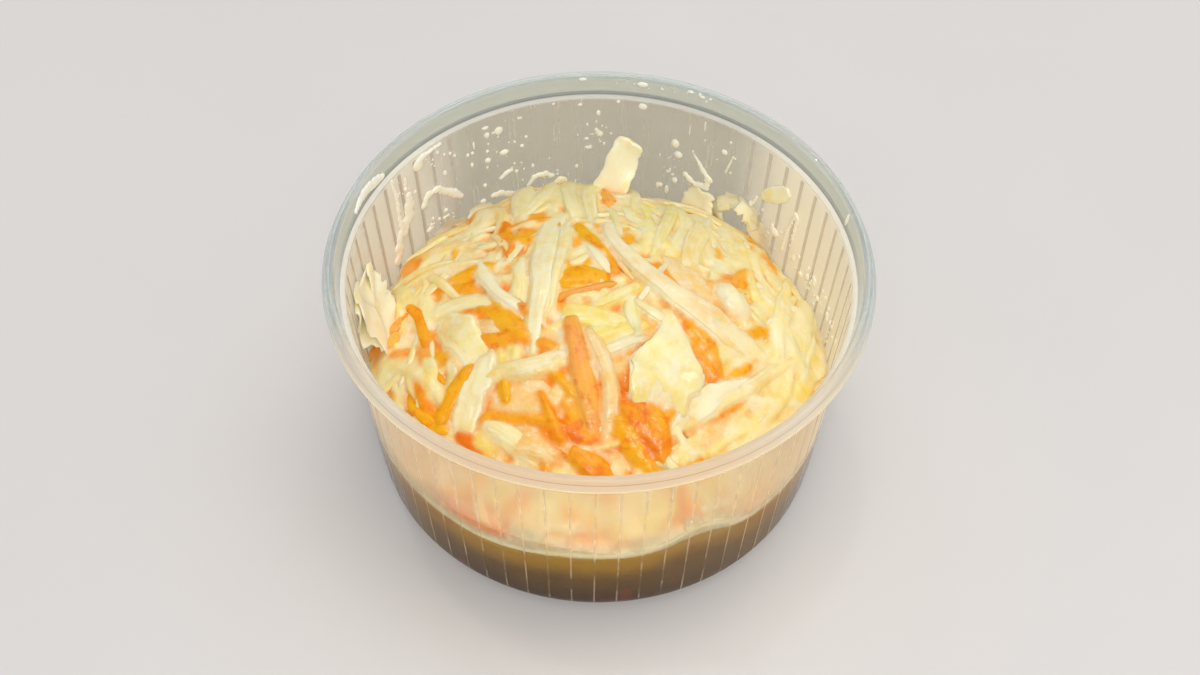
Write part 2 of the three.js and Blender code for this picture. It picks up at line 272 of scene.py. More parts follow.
# %% Screen colours as linear light
def to_light(value):
    """One channel from 0 to 255 as linear light."""
    value = value / 255
    return value / 12.92 if value <= 0.04045 else ((value + 0.055) / 1.055) ** 2.4


def screen(red, green, blue):
    """A screen colour as linear light, with alpha."""
    return (to_light(red), to_light(green), to_light(blue), 1.0)


def light(red, green, blue):
    """A screen colour as a row of three, for sums over many points."""
    return np.array(screen(red, green, blue)[:3])


print("middle grey as light:", round(to_light(128), 3))

# %% [markdown]
# ## Finishes
#
# A finish is a tree of nodes. It could be wired by hand in the shader editor. In a script the same few
# moves come back again and again, so `Finish` makes a node, sets its values and joins what is passed as
# links. Sums and products of any number of values are chains of Math nodes.


# %% Helpers: node trees
class Finish:
    """A material under construction."""

    def __init__(self, name):
        self.material = bpy.data.materials.new(name)
        self.material.use_nodes = True
        self.tree = self.material.node_tree
        self.tree.nodes.clear()
        self.output = self.tree.nodes.new("ShaderNodeOutputMaterial")

    def feed(self, made, key, value):
        """Links a socket to an input of a node, or sets the input to a value."""
        if isinstance(value, bpy.types.NodeSocket):
            self.tree.links.new(value, made.inputs[key])
        else:
            made.inputs[key].default_value = value

    def node(self, kind, inputs=(), **settings):
        made = self.tree.nodes.new("ShaderNode" + kind)
        for key, value in settings.items():
            setattr(made, key, value)
        for key, value in dict(inputs).items():
            self.feed(made, key, value)
        return made

    def place(self):
        return self.node("TexCoord").outputs["Object"]

    def split(self, vector):
        return tuple(self.node("SeparateXYZ", {0: vector}).outputs)

    def carried(self, name, output):
        """A value that each point of the piece carries."""
        return self.node("Attribute", attribute_name=name).outputs[output]

    def stretched(self, vector, scale):
        return self.node("Mapping", {"Vector": vector, "Scale": scale}).outputs[0]

    def noise(self, where, scale, detail=3.0, roughness=0.5, distortion=0.0):
        inputs = {"Vector": where, "Scale": scale, "Detail": detail}
        inputs.update({"Roughness": roughness, "Distortion": distortion})
        return self.node("TexNoise", inputs).outputs["Fac"]

    def ramp(self, value, low, high, to_low=0.0, to_high=1.0):
        """Carries a value smoothly from one range to another. The first range may run downwards."""
        inputs = {"Value": value, "From Min": low, "From Max": high, "To Min": to_low, "To Max": to_high}
        return self.node("MapRange", inputs, interpolation_type="SMOOTHSTEP").outputs["Result"]

    def mix(self, share, first, second, blend="MIX"):
        inputs = {0: share, 6: first, 7: second}
        return self.node("Mix", inputs, data_type="RGBA", blend_type=blend).outputs[2]

    def math(self, operation, first, second=0.0):
        return self.node("Math", {0: first, 1: second}, operation=operation).outputs[0]

    def product(self, first, *others):
        return self.math("MULTIPLY", first, self.product(*others)) if others else first

    def total(self, first, *others):
        return self.math("ADD", first, self.total(*others)) if others else first

    def inverse(self, share):
        return self.math("SUBTRACT", 1.0, share)

    def bump(self, height, distance, strength=1.0):
        inputs = {"Height": height, "Distance": distance, "Strength": strength}
        return self.node("Bump", inputs).outputs["Normal"]

    def blend_shaders(self, share, first, second):
        return self.node("MixShader", {0: share, 1: first.outputs[0], 2: second.outputs[0]})

    def finish(self, shader):
        self.tree.links.new(shader.outputs[0], self.output.inputs["Surface"])
        return self.material


def dress(piece, material, node_names, slot_name):
    """Gives a piece its material, its body, the solid it stands for and its slot."""
    piece.data.materials.clear()
    piece.data.materials.append(material)
    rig.ride(piece, "root")
    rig.replaces(piece, *node_names)
    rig.slot(piece, slot_name)
    print(f"{piece.name}: {sum(len(p.vertices) - 2 for p in piece.data.polygons)} triangles")


print("materials so far:", len(bpy.data.materials))

# %% [markdown]
# ## The tub's outline
#
# The real tub is one thin moulding of clear polypropylene: a ring to stand on, a round corner, a sloping
# wall, a stepped seat for the lid, and a lip that turns down. Its outline is written as one line of
# points, up the outside, over the rim and down the inside, so that the wall has its true thickness
# everywhere. Only the rounds that show are arcs.

# %% The tub's outline, from under the base to the inside floor
FOOT_RING = 34.0
FOOT_CENTRE = 38.0
FOOT_SIZE = 4.3
WALL_HEIGHTS = (13.5, 23, 32.5, 42)
RIB_TOP = LEDGE_HEIGHT - WALL
SEAT_ROUND = 0.45
LIP_ROUND = 0.6

outer_foot = INNER_FOOT_RADIUS + WALL
outer_top = INNER_TOP_RADIUS + WALL
seat_top = RIM_RADIUS - 2.3
seat_foot = seat_top - 0.8
lip_top = RIM_RADIUS - 0.8
lip_edge = TUB_HEIGHT - 2.5


def arc(centre_radius, centre_height, size, start, end, steps):
    """Points of an arc in the outline's plane, from start to end in degrees."""
    turns = [math.radians(start + (end - start) * i / steps) for i in range(steps + 1)]
    return [(centre_radius + size * math.cos(t), centre_height + size * math.sin(t)) for t in turns]


base = [(FOOT_RING - 1, 0.5), (FOOT_RING - 0.5, 0.1), (FOOT_RING, 0.0), (FOOT_CENTRE, 0.0)]
base += arc(FOOT_CENTRE, FOOT_SIZE, FOOT_SIZE, -78, -6, 7)
outside = [(outer_foot, WALL_FOOT)]
outside += [(inner_radius(z) + WALL, z) for z in (*WALL_HEIGHTS, RIB_TOP - 0.9)]
outside += [(outer_top, RIB_TOP), (seat_foot + WALL - 0.2, RIB_TOP + 0.1), (seat_foot + WALL, RIB_TOP + 0.45)]
outside += [(seat_top + WALL, TUB_HEIGHT - 1.2), (seat_top + WALL + 0.25, TUB_HEIGHT - WALL)]
lip = [(lip_top - WALL, TUB_HEIGHT - WALL), (RIM_RADIUS - WALL, lip_edge + 0.1)]
lip += [(RIM_RADIUS - WALL / 2, lip_edge), (RIM_RADIUS, lip_edge + 0.15)]
lip += arc(lip_top - 0.55, TUB_HEIGHT - LIP_ROUND, LIP_ROUND, 12, 90, 4)
seat = arc(seat_top + SEAT_ROUND, TUB_HEIGHT - SEAT_ROUND, SEAT_ROUND, 90, 168, 4)
seat += [(seat_top - 0.35, TUB_HEIGHT - 2.2), (seat_foot + 0.05, LEDGE_HEIGHT + 0.3)]
seat += [(seat_foot - 0.15, LEDGE_HEIGHT + 0.02), (INNER_TOP_RADIUS + 0.25, LEDGE_HEIGHT)]
inside = [(INNER_TOP_RADIUS, LEDGE_HEIGHT - 0.25)]
inside += [(inner_radius(z), z) for z in (*reversed(WALL_HEIGHTS), WALL_FOOT)]
inside += arc(CORNER_CENTRE, CORNER_HEIGHT, CORNER_SIZE, -12, -80, 5)
inside += [(FLOOR_EDGE, FLOOR_HEIGHT)]
outline = base + outside + lip + seat + inside
print(len(outline), "rings")

# %% [markdown]
# ## The shell
#
# The outline could be spun about the axis. Here a filled circle is extruded ring by ring instead, and
# each new ring is resized to its radius. The ends then close by themselves, no seam is left to merge,
# and every ring has matching columns of points, which the ribs need: eight columns lie in each flat
# panel.

# %% Extrude the shell
COLUMNS = 8


def turned_shell(name, rings, segments):
    """Extrudes a filled circle through rings of radius and height in millimetres, into a closed shell."""
    start_clean()
    radius, height = rings[0]
    bpy.ops.mesh.primitive_circle_add(
        vertices=segments, radius=radius * MM, fill_type="NGON", location=(0, 0, height * MM)
    )
    piece = bpy.context.object
    piece.name = name
    bpy.ops.object.transform_apply(location=True)
    bpy.ops.object.mode_set(mode="EDIT")
    bpy.ops.mesh.select_all(action="SELECT")
    for next_radius, next_height in rings[1:]:
        bpy.ops.mesh.extrude_region_move(
            TRANSFORM_OT_translate={"value": (0, 0, (next_height - height) * MM)}
        )
        growth = next_radius / radius
        bpy.ops.transform.resize(value=(growth, growth, 1), center_override=(0, 0, 0))
        radius, height = next_radius, next_height
    bpy.ops.mesh.select_all(action="SELECT")
    bpy.ops.mesh.normals_make_consistent(inside=False)
    bpy.ops.object.mode_set(mode="OBJECT")
    return piece


tub = turned_shell("clear_tub", outline, PANELS * COLUMNS)
print("shell:", len(tub.data.polygons), "faces")

# %% [markdown]
# ## The ribs
#
# Sixty-four fine upright ribs stiffen the wall and catch the light as thin lines. They could be separate
# slivers, but then they would not bend light as one piece with the wall. So whole columns of points are
# moved: the middle column of each rib goes out, the middle of each panel goes in a little on both sides,
# and the columns beside a rib turn towards it, so that its sides are narrow and soft.

# %% Push the ribs out
PITCH = 360 / PANELS
MIDDLE_RADIUS = 44.7
RIB_FOOT = 3.6
TURNED_BELOW = 46.2
CREST = 0.07
GROOVE = -0.045
INNER_GROOVE = -0.04
TURNS = ((1, -0.38), (7, 0.38), (2, -0.45), (6, 0.45))


def column_of(spots):
    """Which of the eight columns of its panel each point lies in, from 0 on the rib to 7."""
    angle = np.degrees(np.arctan2(spots[:, 1], spots[:, 0]))
    return np.round((angle % PITCH) / PITCH * COLUMNS).astype(int) % COLUMNS


def on_wall(spots, low, high, inside):
    """Points on the wall between two heights, on its inside or its outside."""
    radius = np.hypot(spots[:, 0], spots[:, 1])
    middle = inner_radius(spots[:, 2]) + WALL / 2
    band = (spots[:, 2] > low) & (spots[:, 2] < high)
    return band & ((radius < middle) if inside else (radius > middle))


def turn_column(column, degrees):
    """Turns a column of every panel, on the outside of the wall, about the tub's axis."""
    pick(tub, lambda spots: (column_of(spots) == column) & on_wall(spots, RIB_FOOT, TURNED_BELOW, False))
    bpy.ops.transform.rotate(value=-math.radians(degrees), orient_axis="Z", center_override=(0, 0, 0))
    bpy.ops.object.mode_set(mode="OBJECT")


def swell_column(column, amount, high, inside=False):
    """Moves a column of every panel out by an amount in millimetres, or in if it is negative."""
    count = pick(tub, lambda spots: (column_of(spots) == column) & on_wall(spots, RIB_FOOT, high, inside))
    growth = 1 + amount / MIDDLE_RADIUS
    bpy.ops.transform.resize(value=(growth, growth, 1), center_override=(0, 0, 0))
    bpy.ops.object.mode_set(mode="OBJECT")
    return count


crest_points = swell_column(0, CREST, RIB_TOP - 0.5)
swell_column(COLUMNS // 2, GROOVE, RIB_TOP + 0.05)
swell_column(COLUMNS // 2, INNER_GROOVE, RIB_TOP + 0.05, inside=True)
for column, degrees in TURNS:
    turn_column(column, degrees)
take_up(tub)
bpy.ops.object.shade_smooth_by_angle(angle=math.radians(45))
print("ribs:", PANELS, "with", crest_points, "points on their crests")

# %% [markdown]
# ## Zones of the tub
#
# A used tub isn't equally clear all over: grease makes the side walls milky, the front shows the food
# through it, and the rim and the seat look paler or darker than the wall. Part of this is painted light
# and shade: highlight and shade lines on the rim, the ledge and the ribs, shade seen through the back
# wall, and the food painted on the front rim. Such zones could be painted, but a painted picture needs
# unwrapping. Here each zone is worked out from height, radius and angle, so it always fits the shape and
# has a soft edge of a few tenths of a millimetre or a few millimetres.


# %% Zones of the tub, as values from 0 to 1
def tub_zones(make):
    across, depth, height = make.split(make.place())
    radius = make.math("POWER", make.total(make.product(across, across), make.product(depth, depth)), 0.5)
    turn = make.product(make.math("ARCTAN2", depth, across), PANELS / (2 * math.pi))
    rib_share = make.math("FRACT", make.math("ADD", turn, PANELS + 0.5))
    off_rib = make.math("ABSOLUTE", make.math("SUBTRACT", rib_share, 0.5))
    beside_rib = make.math("ABSOLUTE", make.math("SUBTRACT", off_rib, 0.11))
    aside = make.math("ABSOLUTE", across)

    def over(value, low, high):
        """0 at a low value and 1 at a high one, or the other way round, in millimetres."""
        return make.ramp(value, low * MM, high * MM)

    behind = over(depth, -22, 12)
    greasy = make.product(over(height, 19.5, 22.5), over(height, 46.6, 46.2))
    on_seat = make.product(over(height, 46.6, 46.8), over(radius, 47.1, 47.3))
    return {
        "behind": behind,
        "front": over(depth, -10, -34),
        "right": over(across, 0, 40),
        "low_right": over(across, 4, 22),
        "flank": over(aside, 18, 40),
        "above_layer": over(height, 18, 22),
        "below_layer": make.inverse(over(height, 18.5, 20.5)),
        "film_and_shade": make.product(behind, greasy),
        "side": make.product(over(aside, 24, 40), over(depth, -34, -12), greasy),
        "rim": over(height, 46.4, 46.8),
        "ledge": make.product(over(radius, 47.4, 47.2), over(height, 46.4, 46.6)),
        "seat": make.product(on_seat, over(height, 50.3, 49.8)),
        "seat_foot": make.product(on_seat, over(height, 47.3, 47.0)),
        "corner": make.product(over(radius, 49.85, 49.95), over(height, 49.9, 50.1)),
        "lip_edge": make.product(over(radius, 49.5, 49.7), over(height, 49.0, 48.8)),
        "edge": over(radius, 50.0, 50.3),
        "crest": make.product(make.ramp(off_rib, 0.05, 0.025), over(height, 45.5, 45.0)),
        "rib": make.product(make.ramp(off_rib, 0.13, 0.08), over(height, 46.0, 45.5)),
        "rib_sides": make.ramp(beside_rib, 0.04, 0.015),
    }


print("the rim's zone begins", round(LEDGE_HEIGHT - 46.4, 1), "mm under the ledge")

# %% [markdown]
# ## Tint and haze of the plastic
#
# The plastic's own tint is almost clear. On the back wall and the seat at the back lies a grey-olive,
# partly a film of grease and partly painted shade of a darker surround seen through the plastic. The ribs
# at the sides carry painted dark amber shade lines, and a dark line lies where the lid seat meets the wall.
# Over it lies a haze that scatters light. The haze's colour and share also carry painted light: highlight
# lines along the ledge, the rim's edges and the front rib crests, a shade line in the front rim's corner,
# and the peach of the food seen through the front rim. Each colour is laid over the one before, as thin
# coats of varnish are, and the shares of the haze are added up zone by zone.


# %% Tint and haze of the plastic
def laid_over(make, tint, coats):
    """Lays coats, pairs of a share and a colour, over a tint one after another."""
    for share, colour in coats:
        tint = make.mix(share, tint, colour)
    return tint


def plastic_tint_and_painted_shade(make, zone):
    clean = make.mix(zone["rim"], (0.95, 0.92, 0.83, 1), (0.94, 0.97, 0.97, 1))
    return laid_over(
        make,
        clean,
        [
            # Grey-olive on the back wall: partly a film of grease, partly painted shade of a darker surround seen
            # through the plastic.
            (zone["film_and_shade"], (0.66, 0.63, 0.52, 1)),
            (zone["side"], (0.97, 0.93, 0.84, 1)),
            # Dark amber in the side ribs: painted shade lines.
            (make.product(zone["side"], zone["rib"], 0.9), (0.52, 0.38, 0.26, 1)),
            # Grey-olive on the seat at the back: the same grease and painted shade as on the back wall.
            (make.product(zone["seat"], zone["behind"], 0.8), (0.68, 0.66, 0.50, 1)),
            (make.product(zone["seat_foot"], zone["behind"]), (0.04, 0.045, 0.04, 1)),
        ],
    )


# The colour of the haze, which also carries painted light: highlight lines, a shade line and the food seen through the
# front rim.
def haze_and_painted_light_tint(make, zone):
    front_rim = make.mix(zone["flank"], screen(255, 236, 210), screen(252, 246, 234))
    return laid_over(
        make,
        make.mix(zone["rim"], screen(255, 250, 236), screen(230, 238, 238)),
        [
            (make.product(zone["front"], zone["above_layer"]), screen(246, 226, 194)),
            (make.product(zone["front"], zone["below_layer"]), screen(202, 168, 118)),
            # The peach of the food seen through the front rim, painted on.
            (make.product(zone["rim"], zone["front"]), front_rim),
            # A painted shade line in the corner of the front rim.
            (make.product(zone["front"], zone["corner"]), screen(176, 138, 100)),
            # Painted highlights along the lip's lower edge, the ledge and the rib crests at the front.
            (make.product(zone["front"], zone["lip_edge"]), screen(255, 244, 218)),
            (zone["ledge"], screen(250, 248, 240)),
            (make.product(zone["front"], zone["crest"]), screen(250, 232, 200)),
        ],
    )


def haze_and_painted_light_share(make, zone):
    """How much of the light the haze scatters, with the shares of the painted highlight and shade lines and of the
    food painted on the front rim.
    """
    wet = make.noise(make.place(), 160, detail=2)
    not_front = make.inverse(zone["front"])
    not_rim = make.inverse(zone["rim"])
    not_side = make.inverse(zone["side"])
    low_front = make.product(zone["front"], zone["below_layer"])
    front_wall = make.product(zone["front"], zone["above_layer"], not_rim)
    front_rim = make.product(zone["rim"], zone["front"])
    towards_right = make.total(0.56, make.product(zone["right"], 0.36))
    between_ribs = make.inverse(make.product(zone["rib"], 0.6))
    return make.total(
        make.product(zone["side"], towards_right, between_ribs),
        make.product(zone["film_and_shade"], not_side, zone["rib_sides"], make.ramp(wet, 0.4, 0.7, 0.0, 0.3)),
        make.product(front_wall, zone["flank"], 0.42),
        make.product(front_wall, 0.12),
        make.product(low_front, make.ramp(zone["flank"], 0.0, 1.0, 0.0, 0.60)),
        make.product(low_front, zone["low_right"], make.inverse(zone["flank"]), 0.18),
        # The food painted on the front rim, and a painted highlight along its lip's lower edge.
        make.product(front_rim, make.ramp(zone["flank"], 0.0, 1.0, 0.55, 0.54)),
        make.product(front_rim, zone["lip_edge"], 0.3),
        make.product(zone["rim"], not_front, 0.28),
        # Painted highlight lines along the ledge, the outer edge and the rim's corner at the back and sides, a painted
        # shade line in the front corner, and painted highlights on the front rib crests.
        make.product(zone["ledge"], not_front, 0.74),
        make.product(zone["edge"], not_front, 0.62),
        make.product(zone["corner"], not_front, 0.45),
        make.product(zone["corner"], zone["front"], 0.2),
        make.product(zone["crest"], zone["front"], make.ramp(wet, 0.35, 0.65, 0.10, 0.62)),
    )


print("a coat of haze at the front:", [round(c, 2) for c in light(246, 226, 194)])

# %% [markdown]
# ## Clear plastic
#
# Glass settings on the Principled shader bend the light as the real wall does. Light from lamps would be
# stopped by such a wall, and the food inside would be dark, so rays that look for a lamp pass straight
# through with the wall's tint. Over that lies the haze, half diffuse and half translucent, so that a
# wall lit from outside glows inside.


# %% Clear plastic
def clear_plastic():
    make = Finish("clear_polypropylene")
    zone = tub_zones(make)
    front_wall = make.product(zone["front"], make.inverse(zone["rim"]), 0.22)
    clear = make.node(
        "BsdfPrincipled",
        {
            "Base Color": plastic_tint_and_painted_shade(make, zone),
            "Roughness": make.total(0.04, make.product(zone["film_and_shade"], 0.10), front_wall),
            "IOR": 1.36,
            "Transmission Weight": 1.0,
            "Specular IOR Level": 0.45,
        },
    )
    tint = haze_and_painted_light_tint(make, zone)
    reflected = make.node("BsdfDiffuse", {"Color": tint})
    let_through = make.node("BsdfTranslucent", {"Color": tint})
    scattered = make.blend_shaders(0.5, reflected, let_through)
    hazy = make.blend_shaders(haze_and_painted_light_share(make, zone), clear, scattered)
    straight_through = make.node("BsdfTransparent", {"Color": (0.90, 0.89, 0.85, 1)})
    to_lamp = make.node("LightPath").outputs["Is Shadow Ray"]
    return make.finish(make.blend_shaders(to_lamp, hazy, straight_through))


dress(tub, clear_plastic(), ["tub"], "clear_plastic")

# %% [markdown]
# ## The shape of the food
#
# Two heights over the plan describe the food: the line where the pooled dressing meets the wall, and
# the dome of the heap above it. They are the same formulas as in the solids, so what is made here fills
# the same space.

# %% Heights of the dressing and the heap, in millimetres
HEAP_TOP = 43
FOOD_RADIUS = 44


def bump(angle, at, width):
    """1 at an angle in degrees, falling to 0 over a width in degrees."""
    off = np.arctan2(np.sin(angle - math.radians(at)), np.cos(angle - math.radians(at)))
    return np.exp(-((off / math.radians(width)) ** 2))


def dressing_edge(angle):
    """Height of the pooled dressing at the wall, with a tongue at the front right."""
    waves = 1.1 * np.cos(2 * angle + math.radians(160)) + 0.5 * np.cos(5 * angle + math.radians(40))
    return 18.6 + waves + 0.3 * np.cos(11 * angle) + 4.6 * bump(angle, -64, 9)


def heap_edge(angle):
    """Height of the heap at the wall, always a little over the dressing."""
    waves = 1.2 * np.cos(angle - math.radians(170)) + 0.9 * np.cos(3 * angle + math.radians(40))
    return np.maximum(23 + waves + 0.6 * np.cos(7 * angle), dressing_edge(angle) + 2)


def heap_height(x, y):
    share = np.minimum(1, np.hypot(x, y) / FOOD_RADIUS)
    edge = heap_edge(np.arctan2(y, x))
    return edge + (HEAP_TOP - edge) * (1 - share * share)


def heap_up(x, y):
    """The way up from the heap's surface, as rows of unit vectors."""
    step = 0.5
    downhill_x = heap_height(x - step, y) - heap_height(x + step, y)
    downhill_y = heap_height(x, y - step) - heap_height(x, y + step)
    up = np.stack([downhill_x, downhill_y, np.full_like(x, 2 * step)], -1)
    return up / np.linalg.norm(up, axis=-1, keepdims=True)


print("crown", heap_height(0.0, 0.0), "mm, edge at the front", round(float(heap_edge(-math.pi / 2)), 1), "mm")

# %% [markdown]
# ## Where the carrot lies
#
# The salad isn't mixed evenly: much carrot shows at the left and the front, and little at the right and
# the back. One slope over the plan says how much, and the choice of shreds, the tint of the gaps and the
# juice in the hollows all follow it, so the colours agree everywhere.


# %% How much carrot lies where
def carrot_share(x, y):
    """How much carrot there is at a place: much at the left and the front, little at the right and back."""
    return np.clip(0.34 - 0.007 * x - 0.004 * y, 0.06, 0.5)


print("carrot at the front left and the back right:", carrot_share(-25, -25), carrot_share(25, 25))

# %% [markdown]
# ## One shred, modelled once
#
# A shred of cabbage is a thin strip with soft edges. One straight blank is modelled: a small circle
# extruded in steps along X, a little smaller at both ends. Every shred is a copy of it, laid along its
# own curve. Small shreds get a blank with few faces, and broad leaves one with many.


# %% Blanks
def taken_apart(piece):
    """Reads a piece's points and faces and removes the piece."""
    points = points_of(piece)
    faces = [list(polygon.vertices) for polygon in piece.data.polygons]
    print(f"{piece.name}: {len(points)} points, {len(faces)} faces")
    bpy.data.objects.remove(piece)
    return points, faces


def shred_blank(name, sides, steps):
    """A straight blank 1 long and 2 across, as points (along, across, up) and faces."""
    start_clean()
    upright = (0, math.radians(90), 0)
    bpy.ops.mesh.primitive_circle_add(vertices=sides, radius=1, fill_type="NGON", rotation=upright)
    blank = bpy.context.object
    blank.name = name
    bpy.ops.object.transform_apply(rotation=True)
    bpy.ops.object.mode_set(mode="EDIT")
    bpy.ops.mesh.select_all(action="SELECT")
    shares = [0, 0.012, 0.04] + [0.04 + 0.92 * i / steps for i in range(1, steps)] + [0.96, 0.988, 1]
    sizes = [0.45, 0.82, 1] + [1] * (steps - 1) + [1, 0.82, 0.45]
    bpy.ops.transform.resize(value=(1, sizes[0], sizes[0]), center_override=(0, 0, 0))
    for i in range(1, len(shares)):
        bpy.ops.mesh.extrude_region_move(TRANSFORM_OT_translate={"value": (shares[i] - shares[i - 1], 0, 0)})
        growth = sizes[i] / sizes[i - 1]
        bpy.ops.transform.resize(value=(1, growth, growth), center_override=(0, 0, 0))
    bpy.ops.mesh.select_all(action="SELECT")
    bpy.ops.mesh.normals_make_consistent(inside=False)
    bpy.ops.object.mode_set(mode="OBJECT")
    return taken_apart(blank)


FINE_BLANK = shred_blank("fine_blank", 8, 9)
SHRED_BLANK = shred_blank("shred_blank", 12, 16)
LEAF_BLANK = shred_blank("leaf_blank", 24, 26)

# %% [markdown]
# ## Smooth courses
#
# A shred's course is a few given points. A smooth curve through them bends as a limp shred does, and
# slow smooth noise along it makes the shred a little crooked. Both return the same values each time, so
# the heap never changes from run to run.


# %% Smooth courses and smooth noise
def smooth_path(values, shares):
    """Values between hand-placed points, on a smooth curve through them (Catmull-Rom)."""
    values = np.asarray(values, float)
    padded = np.vstack([2 * values[0] - values[1], values, 2 * values[-1] - values[-2]])
    position = np.clip(shares, 0, 1) * (len(values) - 1)
    index = np.minimum(position.astype(int), len(values) - 2)
    t = (position - index)[:, None]
    a, b, c, d = (padded[index + k] for k in range(4))
    return 0.5 * (2 * b + (c - a) * t + (2 * a - 5 * b + 4 * c - d) * t**2 + (3 * b - a - 3 * c + d) * t**3)


def wander(where, seed):
    """Smooth noise from about -1 to 1 along a line."""
    return np.array([noise.noise(Vector((w, seed * 7.31, 0.5))) for w in where]) * 1.6


print("a wander:", [round(float(w), 2) for w in wander([0.3, 0.8, 1.3], 1)])

# %% [markdown]
# ## Piles of shreds
#
# Hundreds of shreds as hundreds of objects would be slow to handle, and they all share one finish. So
# shreds of one kind are gathered in a pile and become one mesh at the end. Each point keeps two values
# for the finish to read: its colour, and its place along and across its own shred, for the fibres.

# %% Piles of shreds
ATTRIBUTE_FIELDS = {"FLOAT": "value", "FLOAT_VECTOR": "vector", "FLOAT_COLOR": "color"}


def piece_from(name, points, faces):
    """A new piece from points in millimetres and faces."""
    data = bpy.data.meshes.new(name)
    data.from_pydata((points * MM).tolist(), [], faces)
    piece = bpy.data.objects.new(name, data)
    bpy.context.collection.objects.link(piece)
    return piece


def keep_on_points(piece, name, kind, values):
    """Stores a value on each point of a piece, for its finish to read."""
    attribute = piece.data.attributes.new(name, kind, "POINT")
    attribute.data.foreach_set(ATTRIBUTE_FIELDS[kind], np.ravel(values))


class Pile:
    """Shreds laid so far, to be joined into one mesh."""

    def __init__(self, name):
        self.name = name
        self.points = []
        self.faces = []
        self.shades = []
        self.places = []
        self.total = 0

    def add(self, points, faces, shade, place):
        self.faces += [[i + self.total for i in face] for face in faces]
        self.points.append(points)
        self.shades.append(shade)
        self.places.append(place)
        self.total += len(points)

    def mesh(self):
        """Joins the shreds into one piece. The gaps between them get painted shade from a function further down."""
        points = np.vstack(self.points)
        shades = np.vstack(self.shades)
        shades[:, :3] = gap_shaded(points, shades[:, :3])
        piece = piece_from(self.name, points, self.faces)
        keep_on_points(piece, "shade", "FLOAT_COLOR", shades)
        keep_on_points(piece, "strip_place", "FLOAT_VECTOR", np.vstack(self.places))
        piece.data.shade_smooth()
        print(f"{self.name}: {len(self.points)} shreds")
        return piece


cabbage = Pile("cabbage_shreds")
leaves = Pile("cabbage_leaves")
carrot = Pile("carrot_shreds")
bedding = Pile("dressed_mass")
print("piles:", [pile.name for pile in (cabbage, leaves, carrot, bedding)])

# %% [markdown]
# ## Laying a shred
#
# Blender's Curve modifier could bend each copy of the blank, but some hundreds of modifiers are slow.
# The functions below do the same sum for all points at once, and can also tear the edges, curl a leaf
# and raise its veins. At each point they work out the middle of the shred and the ways ahead, aside and
# up, and then move the blank's point there. What would pierce the wall is pressed back inside it.


# %% Lay a blank along a course
def crooked(path, along, seed):
    """Rows of x, y, lift and width along a course, shaken a little off the smooth curve."""
    spine = smooth_path(path, along)
    reach = np.linalg.norm(np.diff(np.array(path)[:, :2], axis=0), axis=1).sum()
    for column, size in ((0, 0.5), (1, 0.5), (2, 0.3)):
        spine[:, column] += size * wander(along * reach / 5, seed + 11 + column)
    return spine


def ways(spine, nearby, facing):
    """The middle and the ways ahead, aside and up at each row of a course, on the heap or facing a way."""
    x, y, lift, _ = spine.T
    ahead = nearby[:, :3].copy()
    if facing is None:
        half_x, half_y = nearby[:, 0] / 2, nearby[:, 1] / 2
        up = heap_up(x, y)
        ahead[:, 2] += heap_height(x + half_x, y + half_y) - heap_height(x - half_x, y - half_y)
        middle = np.stack([x, y, heap_height(x, y) + lift], -1)
    else:
        up = np.broadcast_to(np.asarray(facing, float), (len(x), 3))
        middle = spine[:, :3]
    ahead = ahead / np.linalg.norm(ahead, axis=1, keepdims=True)
    aside = np.cross(ahead, up)
    aside /= np.linalg.norm(aside, axis=1, keepdims=True)
    return middle, ahead, aside, np.cross(aside, ahead)


def torn_edges(along, across, width, rag, seed):
    """Half widths with torn edges, and how far torn ends reach on. along is in millimetres here."""
    left = across < 0
    coarse = np.where(left, wander(along / 1.6, seed), wander(along / 1.6, seed + 3))
    fine = np.where(left, wander(along / 0.7, seed + 1), wander(along / 0.7, seed + 2))
    slow = 0.14 * wander(along / 5, seed + 7)
    half = width / 2 * (1 + slow + rag * (0.6 * coarse + 0.4 * fine) * np.abs(across))
    return half, rag * 1.2 * wander(across * width / 2.2 + 9, seed + 4)


def strip_colours(shade, along, across, rise, length, underside, seed):
    """Colours of the points, from the first shade to the last, paler or darker by turns, with painted light on the
    thin edges and painted shade that makes the underside warm and dark.
    """
    first, last = (shade, shade) if np.ndim(shade) == 1 else shade
    colour = np.outer(1 - along, first[:3]) + np.outer(along, last[:3])
    tone = 1 + 0.07 * wander(along * length / 4, seed + 8) + 0.05 * across * wander(along * 3, seed + 9)
    # Yellower in the middle, so that the thin edges look paler: painted light on the edges.
    colour = colour * tone[:, None] * (1 - np.outer(1 - across**2, (0, 0.03, 0.12)))
    # Warmer and darker on the underside: painted shade under the shred.
    below = np.clip(-rise * 1.6, 0, 1)[:, None] * underside
    colour = np.clip(colour * (1 - below * np.array([[0.0, 0.22, 0.62]])), 0, 1)
    return np.column_stack([colour, np.ones(len(along))])


